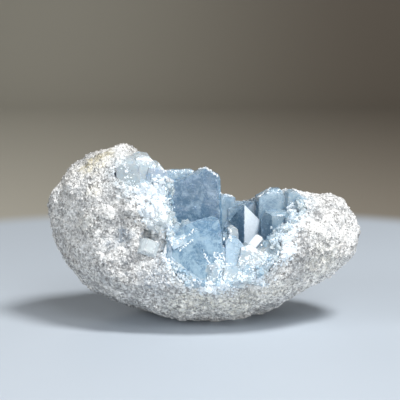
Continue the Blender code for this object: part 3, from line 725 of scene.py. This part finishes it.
def slice_off(bm, normal, depth):
    """Cuts the convex mesh flat, depth inside its furthest point along normal."""
    furthest = max(v.co.dot(normal) for v in bm.verts)
    cut = bmesh.ops.bisect_plane(
        bm,
        geom=bm.verts[:] + bm.edges[:] + bm.faces[:],
        plane_co=normal * (furthest - depth),
        plane_no=normal,
        clear_outer=True,
        dist=1e-6,
    )
    edges = [e for e in cut["geom_cut"] if isinstance(e, bmesh.types.BMEdge)]
    if edges:
        bmesh.ops.edgeloop_fill(bm, edges=edges)


def cut_block(width, depth, length, cuts):
    """A block with its top at z 0, with the cuts made."""
    bm = bmesh.new()
    bmesh.ops.create_cube(bm, size=1.0)
    bmesh.ops.scale(bm, vec=(width, depth, length), verts=bm.verts)
    bmesh.ops.translate(bm, vec=(0, 0, -length / 2), verts=bm.verts)
    for round_by, tilt, cut_depth in cuts:
        turn, lean = math.radians(round_by), math.radians(tilt)
        normal = Vector((math.cos(turn) * math.sin(lean), math.sin(turn) * math.sin(lean), math.cos(lean)))
        slice_off(bm, normal, cut_depth)
    return bm


def put_in_place(bm, top, axis, facing, scale=1.0):
    """Moves a block to its place, and turns its faces outwards."""
    place = frame_of(top, axis, facing)
    bmesh.ops.transform(bm, matrix=Matrix.Scale(scale, 4) @ place, verts=bm.verts)
    bmesh.ops.recalc_face_normals(bm, faces=bm.faces)
    bm.normal_update()


def wear(bm, grown):
    """Grows a block by a little, and bevels its edges."""
    middle = sum((v.co for v in bm.verts), Vector()) / len(bm.verts)
    for vert in bm.verts:
        out = vert.co - middle
        vert.co += Vector(math.copysign(grown, c) for c in out)
    worn = bmesh.ops.bevel(
        bm, geom=bm.edges[:], offset=EDGE_WEAR, segments=1, profile=0.5, affect="EDGES"
    )
    for face in bm.faces:
        face.material_index = FACE
    for face in worn["faces"]:
        face.material_index = EDGE


def split_edges(bm, longest):
    """Splits the edges that are longer than longest, and leaves triangles."""
    for _ in range(MOST_SPLITS):
        long_edges = [e for e in bm.edges if e.calc_length() > longest]
        if not long_edges:
            break
        bmesh.ops.subdivide_edges(bm, edges=long_edges, cuts=1)
        bmesh.ops.triangulate(bm, faces=bm.faces[:])
    bm.normal_update()


def jag_at(place, seed, break_depth, break_reach):
    """How far a broken top is sunk at a place: waves and flat steps that fade out over break_reach."""
    if place.z <= -break_reach:
        return 0.0
    spot = Vector((place.x / JAGGED_WAVE, place.y / JAGGED_WAVE, 0.0)) + seed
    jag = 0.6 * abs(noise.noise(spot)) + 0.55 * noise.cell(spot * 1.35) + 0.3 * noise.noise(spot * 3)
    fall = 1 - min(1.0, max(0.0, -place.z / break_reach))
    return break_depth * max(0.0, jag) * fall


def roughen(bm, seed, jagged):
    """Chips the worn edges, makes the faces slightly uneven, and sinks a broken top."""
    moves = []
    for vert in bm.verts:
        if any(f.material_index == EDGE for f in vert.link_faces):
            move = vert.normal * -EDGE_CHIP * max(0.0, noise.noise(vert.co / CHIP_WAVE + seed))
        else:
            move = vert.normal * FACE_RELIEF * noise.noise(vert.co / FACE_WAVE + seed)
        if jagged:
            move = move - Vector((0, 0, jag_at(vert.co, seed, *jagged)))
        moves.append(move)
    for vert, move in zip(bm.verts, moves):
        vert.co += move


def fine_crystal(name, top, axis, facing, width, depth, length, cuts, grown=GROWN):
    """One crystal with worn, chipped edges and slightly uneven faces, a little over its packed size."""
    bm = cut_block(width, depth, length, cuts)
    wear(bm, grown)
    jagged = JAGGED.get(name)
    split_edges(bm, JAGGED_EDGE if jagged else CRYSTAL_EDGE)
    roughen(bm, Vector(top), jagged)
    put_in_place(bm, top, axis, facing, MM)
    # The pointed crystal's listed face is made opaque white as painted light.
    if name in WHITE_FACES:
        way = Vector(WHITE_FACES[name]).normalized()
        for face in bm.faces:
            if face.normal.dot(way) > SAME_FACE:
                face.material_index = WHITE
    return linked(name, mesh_of(bm, name))


def planes_of(top, axis, facing, width, depth, length, cuts):
    """A crystal's faces as planes: the normals, and the distances from the origin."""
    bm = cut_block(width, depth, length, cuts)
    put_in_place(bm, top, axis, facing)
    normals = np.array([f.normal[:] for f in bm.faces])
    offsets = np.array([f.normal.dot(f.verts[0].co) for f in bm.faces])
    bm.free()
    return normals, offsets


def crystal_tones(places):
    """Each place's tone: that of the crystal that it lies on, or that of its face where a face has painted
    light or shade.
    """
    tones = np.full(len(places), CRUST_TONE)
    nearest = np.full(len(places), TONE_REACH)
    for name, crystal_tone, *shape in LARGE_CRYSTALS:
        normals, offsets = planes_of(*shape)
        outside = places @ normals.T - offsets
        depth = np.abs(outside.max(1))
        closer = depth < nearest
        own = np.full(len(places), crystal_tone)
        for crystal, way, tone in LIT_AND_SHADED_FACES:
            if crystal == name:
                faces = normals @ np.array(way) > SAME_FACE * np.linalg.norm(way)
                own = np.where(faces[outside.argmax(1)], tone, own)
        tones = np.where(closer, own, tones)
        nearest = np.where(closer, depth, nearest)
    return tones


def make_crystals(materials):
    """The crystals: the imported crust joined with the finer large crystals."""
    crust = welded("crystal_crust", "crust_solid")
    group = bpy.data.collections.new("fine_crystals")
    made = [fine_crystal(name, *shape) for name, _, *shape in LARGE_CRYSTALS]
    for obj in made:
        group.objects.link(obj)
    for obj in [crust] + made:
        for material in materials:
            obj.data.materials.append(material)
    join = crust.modifiers.new("join", "BOOLEAN")
    join.operation = "UNION"
    join.solver = "MANIFOLD"
    join.operand_type = "COLLECTION"
    join.collection = group
    crystals = baked(crust, "crystals")
    for obj in made:
        bpy.data.objects.remove(obj, do_unlink=True)
    bpy.data.collections.remove(group)
    places = coordinates(crystals.data)
    set_attribute(crystals.data, "tone", crystal_tones(places))
    set_attribute(crystals.data, "grain", np.ones(len(places)))
    return crystals


def make_face_blocks(materials):
    """The clear blocks on the broken face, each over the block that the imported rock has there."""
    bm = bmesh.new()
    for n in CLEAR_BLOCKS:
        top, axis, *sizes = FACE_BLOCKS[n]
        shape = (top, axis, FACE_BLOCK_FACING, *sizes, FACE_BLOCK_CUTS)
        block = fine_crystal(f"block_{n}", *shape, BLOCK_GROWN)
        bm.from_mesh(block.data)
        bpy.data.objects.remove(block, do_unlink=True)
    mesh = mesh_of(bm, "face_blocks")
    for material in materials:
        mesh.materials.append(material)
    set_attribute(mesh, "tone", np.full(len(mesh.vertices), 1.0))
    return linked("face_blocks", mesh)


def template(cuts):
    """The vertices and triangles of a small cut block, 1 wide, deep and long round its middle."""
    bm = cut_block(1.0, 1.0, 1.0, cuts)
    bmesh.ops.translate(bm, vec=(0, 0, 0.5), verts=bm.verts)
    bmesh.ops.triangulate(bm, faces=bm.faces[:])
    bmesh.ops.recalc_face_normals(bm, faces=bm.faces)
    verts = np.array([v.co[:] for v in bm.verts])
    faces = np.array([[v.index for v in f.verts] for f in bm.faces])
    bm.free()
    return verts, faces


def surface_spots(mesh, count, chance, weight=None):
    """Random places on a mesh's triangles, their normals, and a vertex near each.

    A triangle's share of them is its area, times what weight gives for its middle and first vertex.
    """
    mesh.calc_loop_triangles()
    corners = np.empty(len(mesh.loop_triangles) * 3, np.int32)
    mesh.loop_triangles.foreach_get("vertices", corners)
    corners = corners.reshape(-1, 3)
    tri = coordinates(mesh)[corners]
    cross = np.cross(tri[:, 1] - tri[:, 0], tri[:, 2] - tri[:, 0])
    share = np.linalg.norm(cross, axis=1) / 2
    normal = cross / np.maximum(np.linalg.norm(cross, axis=1), 1e-12)[:, None]
    if weight:
        share = share * weight(tri.mean(1), corners[:, 0])
    picked = chance.choice(len(tri), size=count, p=share / share.sum())
    u, v = chance.random(count), chance.random(count)
    flip = u + v > 1
    u, v = np.where(flip, 1 - u, u), np.where(flip, 1 - v, v)
    a, b, c = tri[picked, 0], tri[picked, 1], tri[picked, 2]
    return a + (b - a) * u[:, None] + (c - a) * v[:, None], normal[picked], corners[picked, 0]


def turns_towards(ways, chance):
    """A rotation for each way: its z runs that way, and it is turned by chance about it."""
    up = ways / np.linalg.norm(ways, axis=1)[:, None]
    side = chance.normal(size=up.shape)
    side -= up * (side * up).sum(1)[:, None]
    side /= np.linalg.norm(side, axis=1)[:, None]
    return np.stack((side, np.cross(up, side), up), axis=2)


def joined_blocks(name, cuts, places, ways, sizes, chance, marks):
    """One mesh of many small blocks. sizes are each block's width, depth and length, and marks are the
    attributes that each block's vertices take."""
    templates = [template(cut) for cut in cuts]
    turns = turns_towards(ways, chance)
    kind = chance.integers(0, len(templates), len(places))
    marks = dict(marks, grain=chance.random(len(places)))
    all_verts, all_faces = [], []
    all_marks = {mark: [] for mark in marks}
    start = 0
    for k, (verts, faces) in enumerate(templates):
        who = np.nonzero(kind == k)[0]
        scaled = verts[None] * sizes[who][:, None, :]
        moved = np.einsum("nij,nvj->nvi", turns[who], scaled) + places[who][:, None, :]
        offsets = start + np.arange(len(who)) * len(verts)
        all_verts.append(moved.reshape(-1, 3))
        all_faces.append((faces[None] + offsets[:, None, None]).reshape(-1, 3))
        for mark, values in marks.items():
            all_marks[mark].append(np.repeat(values[who], len(verts)))
        start += len(who) * len(verts)
    verts = np.clip(np.concatenate(all_verts), LOW, HIGH)
    mesh = bpy.data.meshes.new(name)
    mesh.from_pydata((verts * MM).tolist(), [], np.concatenate(all_faces).tolist())
    mesh.update()
    for mark, values in all_marks.items():
        set_attribute(mesh, mark, np.concatenate(values))
    return linked(name, mesh)


def make_grains(name, rock, count, least, extra, common, seed):
    """Angular grains sunk in the rock's outside, as GRAINS lists them."""
    chance = np.random.default_rng(seed)
    base, on_break, by_hollow = common
    marked = ROCK_TONES + ("rind", "under", "lined", "band", "rim", "hollow")
    values = {mark: get_attribute(rock.data, mark) for mark in marked + ("hidden", "broken")}
    crowd = 0.35 + smooth_step(-0.25, 0.45, noise_at(coordinates(rock.data), *CROWD_NOISE))

    def weight(middle, vert):
        outside = (values["hidden"][vert] < 0.5) & (middle[:, 2] > LOWEST_GRAIN)
        bare = (1 - 0.85 * values["ochre"][vert]) * (1 - 0.45 * values["rind"][vert])
        share = base + on_break * values["broken"][vert] + by_hollow * values["hollow"][vert]
        return outside * bare * crowd[vert] * share

    places, normals, near = surface_spots(rock.data, count, chance, weight)
    ways = normals + chance.normal(size=(count, 3)) * GRAIN_LEAN
    size = np.minimum(chance.gamma(GRAIN_SPREAD, extra / GRAIN_SPREAD, count) + least, LARGEST_GRAIN)
    blocks = size[:, None] * chance.uniform(0.7, 1.25, (count, 3))
    sunk = 0.42 * size + 0.35 * np.maximum(size - 0.8, 0)
    places = places - normals * sunk[:, None]
    marks = {mark: values[mark][near] for mark in marked}
    marks["recess_shade"] = np.zeros(count)
    return joined_blocks(name, ROCK_CUTS, places, ways, blocks, chance, marks)


def inside_large(places):
    """Whether each place lies in one of the large crystals, or on it."""
    found = np.zeros(len(places), bool)
    for _, _, *shape, _ in LARGE_CRYSTALS:
        found |= in_block(places, *shape, CRYSTAL_ROOM)
    return found


def make_druse(crust, rock_tree):
    """Small crystals on the crust's lining, between the large ones."""
    chance = np.random.default_rng(DRUSE_SEED)
    places, normals, _ = surface_spots(crust.data, DRUSE_COUNT, chance)
    from_rock = distance_to(rock_tree, places, DRUSE_REACH)
    keep = ~inside_large(places) & (from_rock > DRUSE_ROOM)
    places, normals, from_rock = places[keep], normals[keep], from_rock[keep]
    count = len(places)
    ways = normals + chance.normal(size=(count, 3)) * DRUSE_LEAN
    least, most = DRUSE_WIDTHS
    width = np.minimum(chance.gamma(*DRUSE_SPREAD, count) + least, most)
    long = width * chance.uniform(1.1, 1.8, count)
    sizes = np.stack((width, width * chance.uniform(0.5, 0.9, count), long), 1)
    pale = 0.45 + 0.25 * smooth_step(22.0, 44.0, places[:, 2]) + 0.25 * smooth_step(3.0, 1.0, from_rock)
    marks = {"tone": np.clip(pale + 0.2 * chance.normal(size=count), 0.1, 1.0)}
    places = places - normals * DRUSE_SUNK
    return joined_blocks("druse", CRYSTAL_CUTS, places, ways, sizes, chance, marks)


def make_sugar(trees):
    """White sugar: small blocks in streaks over the crystals, where the photograph shows them."""
    chance = np.random.default_rng(SUGAR_SEED)
    places, normals, sizes, tones = [], [], [], []
    for *ends, wide, count, size, tone in SUGAR_STREAKS:
        start, end = np.array(ends[:2], float), np.array(ends[2:], float)
        for _ in range(count):
            pixel = start + (end - start) * chance.random() + chance.normal(size=2) * wide / 2
            spot = photo_spot(trees, *pixel)
            if spot is None:
                continue
            scale = size * chance.gamma(*SUGAR_SPREAD)
            places.append(spot[0] - spot[1] * scale * SUGAR_SUNK)
            normals.append(spot[1])
            sizes.append(scale * chance.uniform(0.7, 1.3, 3))
            tones.append(tone + 0.08 * chance.normal())
    places, normals = np.array(places), np.array(normals)
    ways = normals + chance.normal(size=places.shape) * SUGAR_LEAN
    marks = {"tone": np.clip(tones, 0, 1)}
    return joined_blocks("sugar", GRAIN_CUTS, places, ways, np.array(sizes), chance, marks)


class Nodes:
    """Builds a material's node tree with short calls. Sizes are in millimetres."""

    def __init__(self, name):
        self.material = bpy.data.materials.new(name)
        self.material.use_nodes = True
        self.tree = self.material.node_tree
        self.shader = self.tree.nodes["Principled BSDF"]
        self.output = self.tree.nodes["Material Output"]
        self.coordinates = self.tree.nodes.new("ShaderNodeTexCoord").outputs["Object"]

    def join(self, source, socket):
        self.tree.links.new(source, socket)

    def fill(self, socket, value):
        if isinstance(value, bpy.types.NodeSocket):
            self.join(value, socket)
        else:
            socket.default_value = value

    def add(self, kind, output, inputs, **settings):
        """A new node, with its settings made and its inputs filled. It gives the named output."""
        node = self.tree.nodes.new(kind)
        for key, value in settings.items():
            setattr(node, key, value)
        for key, value in inputs.items():
            self.fill(node.inputs[key], value)
        return node.outputs[output]

    def shade(self, name, value):
        self.fill(self.shader.inputs[name], value)

    def noise(self, size_mm, detail=3.0, roughness=0.55, distortion=0.0, stretch=None):
        """Noise. stretch is a rotation and a scale of the coordinates that it is read at."""
        source = self.coordinates
        if stretch:
            turn, scale = stretch
            mapped = {"Vector": source, "Rotation": turn, "Scale": scale}
            source = self.add("ShaderNodeMapping", "Vector", mapped)
        inputs = {"Scale": 1 / (size_mm * MM), "Detail": detail, "Roughness": roughness}
        inputs.update({"Distortion": distortion, "Vector": source})
        return self.add("ShaderNodeTexNoise", "Fac", inputs)

    def cells(self, size_mm):
        """Irregular cells: a random colour for each, and the height of a tilted flat on each, in mm."""
        node = self.tree.nodes.new("ShaderNodeTexVoronoi")
        node.inputs["Scale"].default_value = 1 / (size_mm * MM)
        self.join(self.coordinates, node.inputs["Vector"])
        split = self.tree.nodes.new("ShaderNodeSeparateColor")
        self.join(node.outputs["Color"], split.inputs["Color"])
        within = self.vector("SUBTRACT", self.coordinates, node.outputs["Position"])
        tilt = self.vector("SUBTRACT", node.outputs["Color"], (0.5, 0.5, 0.5))
        up = self.vector("DOT_PRODUCT", within, tilt, "Value")
        return split.outputs, self.math("DIVIDE", up, MM, clamp=False)

    def vector(self, operation, a, b=(0.0, 0.0, 0.0), output="Vector"):
        return self.add("ShaderNodeVectorMath", output, {0: a, 1: b}, operation=operation)

    def attribute(self, name):
        return self.add("ShaderNodeAttribute", "Fac", {}, attribute_name=name)

    def range(self, value, low, high, to_low=0.0, to_high=1.0):
        """A smooth step of value between low and high, from to_low to to_high."""
        inputs = {"Value": value, "From Min": low, "From Max": high, "To Min": to_low, "To Max": to_high}
        return self.add("ShaderNodeMapRange", "Result", inputs, interpolation_type="SMOOTHSTEP")

    def math(self, operation, a, b, clamp=True):
        return self.add("ShaderNodeMath", "Value", {0: a, 1: b}, operation=operation, use_clamp=clamp)

    def times(self, a, b):
        return self.math("MULTIPLY", a, b)

    def mix(self, factor, a, b, blend="MIX"):
        inputs = {"Factor": factor, "A": a, "B": b}
        return self.add("ShaderNodeMix", "Result", inputs, data_type="RGBA", blend_type=blend)

    def tint(self, colour, cover, most, other):
        """The colour, with as much of the other one over it as cover says, at most most."""
        return self.mix(self.times(cover, most), colour, other)

    def bump(self, height, distance_mm, strength=1.0, after=None):
        """Relief on the shader's normal, on top of the relief given as after."""
        inputs = {"Distance": distance_mm * MM, "Strength": strength, "Height": height}
        if after:
            inputs["Normal"] = after
        normal = self.add("ShaderNodeBump", "Normal", inputs)
        self.join(normal, self.shader.inputs["Normal"])
        return normal


def base_tones(n):
    """White stone with grey mottles and clean spots, creamier on the rind, and paler below as painted fill
    light for the shade there.
    """
    colour = n.mix(n.attribute("white"), STONE_WHITE, STONE_CLEAN)
    mottle = n.range(n.noise(6.0, 9.0, 0.78, 0.5), 0.50, 0.58)
    colour = n.tint(colour, mottle, 0.7, STONE_MOTTLE)
    clean = n.range(n.noise(3.4, 9.0, 0.8, 0.6), 0.50, 0.58)
    colour = n.tint(colour, clean, 0.8, STONE_CLEAN)
    colour = n.tint(colour, n.attribute("rind"), 0.6, STONE_RIND)
    # Painted fill light on faces turned down.
    return n.tint(colour, n.attribute("under"), 0.85, PAINTED_FILL_UNDER)


def placed_tones(n, colour):
    """The patches of other tones, the rind's lines, its pale rim, and the lining round the hollow."""
    breakup = n.range(n.noise(1.8, 6.0, 0.75), 0.40, 0.60)
    for tone, (tint, most) in TONE_COLOURS.items():
        cover = n.times(n.attribute(tone), most)
        cover = n.times(cover, n.range(breakup, 0.0, 1.0, 0.55, 1.0))
        colour = n.mix(cover, colour, tint)
    band = n.math("PINGPONG", n.attribute("band"), HALF_BAND, clamp=False)
    lines = n.times(n.range(band, 0.35, HALF_BAND), n.attribute("lined"))
    lines = n.times(lines, n.range(breakup, 0.0, 1.0, 0.3, 1.0))
    colour = n.tint(colour, lines, 0.85, STONE_LINE)
    colour = n.tint(colour, n.attribute("rim"), 0.7, STONE_RIM)
    near = n.times(n.attribute("hollow"), n.range(n.noise(2.2, 3.0), 0.35, 0.6, 0.3, 1.0))
    return n.tint(colour, near, 0.8, STONE_LINING)


def fine_tones(n, colour, grain, small):
    """The shade of each grain, dark and bright grains, specks, pits, dark blotches below that stand partly
    for painted shade, and painted shade in the low seams and pits.
    """
    shade = n.range(grain["Red"], 0.0, 1.0, 0.82, 1.08)
    colour = n.mix(1.0, colour, shade, "MULTIPLY")
    shade = n.range(n.attribute("grain"), 0.0, 1.0, 0.80, 1.06)
    colour = n.mix(1.0, colour, shade, "MULTIPLY")
    dark = n.times(n.range(small["Green"], 0.66, 0.80), n.range(n.noise(3.5, 4.0), 0.42, 0.56))
    colour = n.tint(colour, dark, 0.8, DARK_GRAIN)
    speck = n.range(n.noise(0.8, 3.0, 0.6), 0.58, 0.66)
    colour = n.tint(colour, speck, 0.7, DARK_SPECK)
    # Dark blotches on faces turned down: partly speckled stone, partly painted shade.
    blotch_and_shade = n.times(n.range(n.noise(1.7, 5.0, 0.72), 0.50, 0.58), n.attribute("under"))
    colour = n.tint(colour, blotch_and_shade, 0.85, DARK_BLOTCH_AND_SHADE)
    pocked = n.range(n.noise(13.0, 2.0), 0.42, 0.58)
    pit = n.times(n.range(n.noise(1.2, 3.0, 0.7), 0.57, 0.64), pocked)
    colour = n.tint(colour, pit, 0.75, DARK_PIT)
    bright = n.range(small["Blue"], 0.80, 0.9)
    colour = n.tint(colour, bright, 0.6, BRIGHT_GRAIN)
    # Painted shade in the low seams and pits.
    return n.tint(colour, n.attribute("recess_shade"), 0.55, PAINTED_RECESS_SHADE)


def rock_material():
    """Pale granular rock: patches of other tones, white and dark grains, and a banded rind."""
    n = Nodes("rock")
    grain, facet = n.cells(1.1)
    small, small_facet = n.cells(0.6)
    colour = fine_tones(n, placed_tones(n, base_tones(n)), grain, small)
    n.shade("Base Color", colour)
    n.shade("Roughness", n.range(grain["Green"], 0.0, 1.0, 0.30, 0.85))
    first = n.bump(facet, 1.0, 0.22)
    second = n.bump(small_facet, 1.0, 0.28, first)
    n.bump(n.noise(0.35, 3.0, 0.7), 0.12, 0.4, second)
    return n.material


def crystal_colour(n, dark, middle, pale):
    """The colour of a crystal for its tone, with pale clouds and veils in it."""
    cloud = n.range(n.noise(5.5, 5.0, 0.65, 1.0), 0.38, 0.66, -0.14, 0.18)
    fine = n.range(n.noise(1.3, 5.0, 0.7), 0.45, 0.72, -0.04, 0.16)
    veil = n.noise(3.2, 6.0, 0.6, 1.5, VEIL_STRETCH)
    veil = n.times(n.range(veil, 0.44, 0.49), n.range(veil, 0.56, 0.51))
    tone = n.math("ADD", n.attribute("tone"), cloud)
    tone = n.math("ADD", tone, fine)
    tone = n.math("ADD", tone, n.times(veil, 0.16))
    low = n.mix(n.range(tone, 0.0, 0.5), dark, middle)
    return n.mix(n.range(tone, 0.45, 1.0), low, pale)


def crystal_material(name, colours, rough, inside):
    """Cloudy blue crystal. inside is the colour that it gives to light inside it."""
    n = Nodes(name)
    n.shade("Base Color", crystal_colour(n, *colours))
    n.shade("Transmission Weight", TRANSMISSION)
    n.shade("IOR", CELESTITE_IOR)
    n.shade("Roughness", n.range(n.noise(2.2, 4.0, 0.65), 0.35, 0.7, rough, rough + 0.2))
    first = n.bump(n.noise(2.5, 4.0, 0.6, 0.0, STRIA_STRETCH), 0.10, 0.3)
    n.bump(n.noise(0.8, 3.0, 0.6), 0.05, 0.3, first)
    absorb = {"Color": inside, "Density": ABSORB_DENSITY}
    n.join(n.add("ShaderNodeVolumeAbsorption", "Volume", absorb), n.output.inputs["Volume"])
    return n.material


def sugar_material():
    """White to pale blue sugary grains, bright and opaque."""
    n = Nodes("sugar")
    colour = n.mix(n.attribute("tone"), SUGAR_BLUE, SUGAR_WHITE)
    colour = n.mix(n.range(n.attribute("grain"), 0.0, 0.5, 0.35, 0.0), colour, SUGAR_SHADE)
    n.shade("Base Color", colour)
    n.shade("Roughness", n.range(n.noise(0.8, 2.0), 0.35, 0.65, 0.15, 0.45))
    n.bump(n.noise(0.5, 3.0, 0.6), 0.08, 0.4)
    return n.material


def floor_material():
    """Cool and pale near the part, and warmer further out, darker to the right."""
    n = Nodes("floor")
    away = n.vector("LENGTH", n.coordinates, output="Value")
    across = n.add("ShaderNodeSeparateXYZ", "X", {"Vector": n.coordinates})
    far = n.mix(n.range(across, *FLOOR_SIDES), FLOOR_LEFT, FLOOR_RIGHT)
    colour = n.mix(n.range(away, *FLOOR_RINGS), FLOOR_MIDDLE, far)
    n.shade("Base Color", colour)
    n.shade("Roughness", FLOOR_ROUGHNESS)
    return n.material


def make_floor():
    """A pale floor that sweeps up behind into a plain backdrop."""
    bm = bmesh.new()
    profile = [(FLOOR_FRONT, 0.0), (FLOOR_BACK, 0.0)]
    for step in range(1, SWEEP_STEPS + 1):
        turn = math.radians(90 * step / SWEEP_STEPS)
        profile.append((FLOOR_BACK + SWEEP * math.sin(turn), SWEEP * (1 - math.cos(turn))))
    profile.append((FLOOR_BACK + SWEEP, WALL_TOP))
    rows = [[bm.verts.new((x, y, z)) for x in (-FLOOR_HALF, FLOOR_HALF)] for y, z in profile]
    for a, b in zip(rows, rows[1:]):
        bm.faces.new((a[0], a[1], b[1], b[0])).smooth = True
    floor = linked("floor", mesh_of(bm, "floor"))
    floor.data.materials.append(floor_material())


def make_lights():
    """The round area lights, and the faint light from all round."""
    for name, (place, aim, size, power, colour) in LIGHTS.items():
        light = bpy.data.lights.new(name, "AREA")
        light.shape = "DISK"
        light.size = size
        light.energy = power
        light.color = colour
        obj = linked(name, light)
        obj.location = place
        obj.rotation_euler = (Vector(aim) - Vector(place)).to_track_quat("-Z", "Y").to_euler()
    world = bpy.data.worlds.new("studio")
    bpy.context.scene.world = world
    world.use_nodes = True
    background = world.node_tree.nodes["Background"]
    background.inputs["Color"].default_value = WORLD_COLOUR
    background.inputs["Strength"].default_value = WORLD_STRENGTH


def make_camera():
    data = bpy.data.cameras.new("camera")
    data.lens = CAMERA_LENS
    data.sensor_width = CAMERA_SENSOR
    data.clip_start = 0.01
    camera = linked("camera", data)
    bpy.context.scene.camera = camera
    place, look, _ = camera_view()
    camera.location = place
    camera.rotation_euler = look.to_track_quat("-Z", "Y").to_euler()


def main():
    """Makes every piece and what stands round them."""
    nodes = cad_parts
    solid_trees = (tree_of(nodes["rock_shell"]), tree_of(nodes["crystal_crust"]))
    stone = rock_material()
    sweet = sugar_material()
    milky = crystal_material("milky_crystal", MILKY_BLUES, 0.20, MILKY_INSIDE)
    clear = crystal_material("clear_crystal", CLEAR_BLUES, 0.08, CLEAR_INSIDE)
    rock = make_rock(solid_trees)
    rock.data.materials.append(stone)
    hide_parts("rock_shell")
    all_grains = [make_grains(name, rock, *plan) for name, plan in GRAINS.items()]
    for grains in all_grains:
        grains.data.materials.append(stone)
    crystals = make_crystals((milky, clear, sweet))
    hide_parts("crystal_crust")
    face_blocks = make_face_blocks((milky, clear, sweet))
    druse = make_druse(crystals, solid_trees[0])
    druse.data.materials.append(clear)
    sugar = make_sugar((tree_of(rock), tree_of(crystals)))
    sugar.data.materials.append(sweet)
    for piece in (rock, *all_grains, crystals, face_blocks, druse, sugar):
        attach(piece, "root")
    make_floor()
    make_lights()
    make_camera()
    bpy.context.scene.view_settings.view_transform = "Standard"


main()
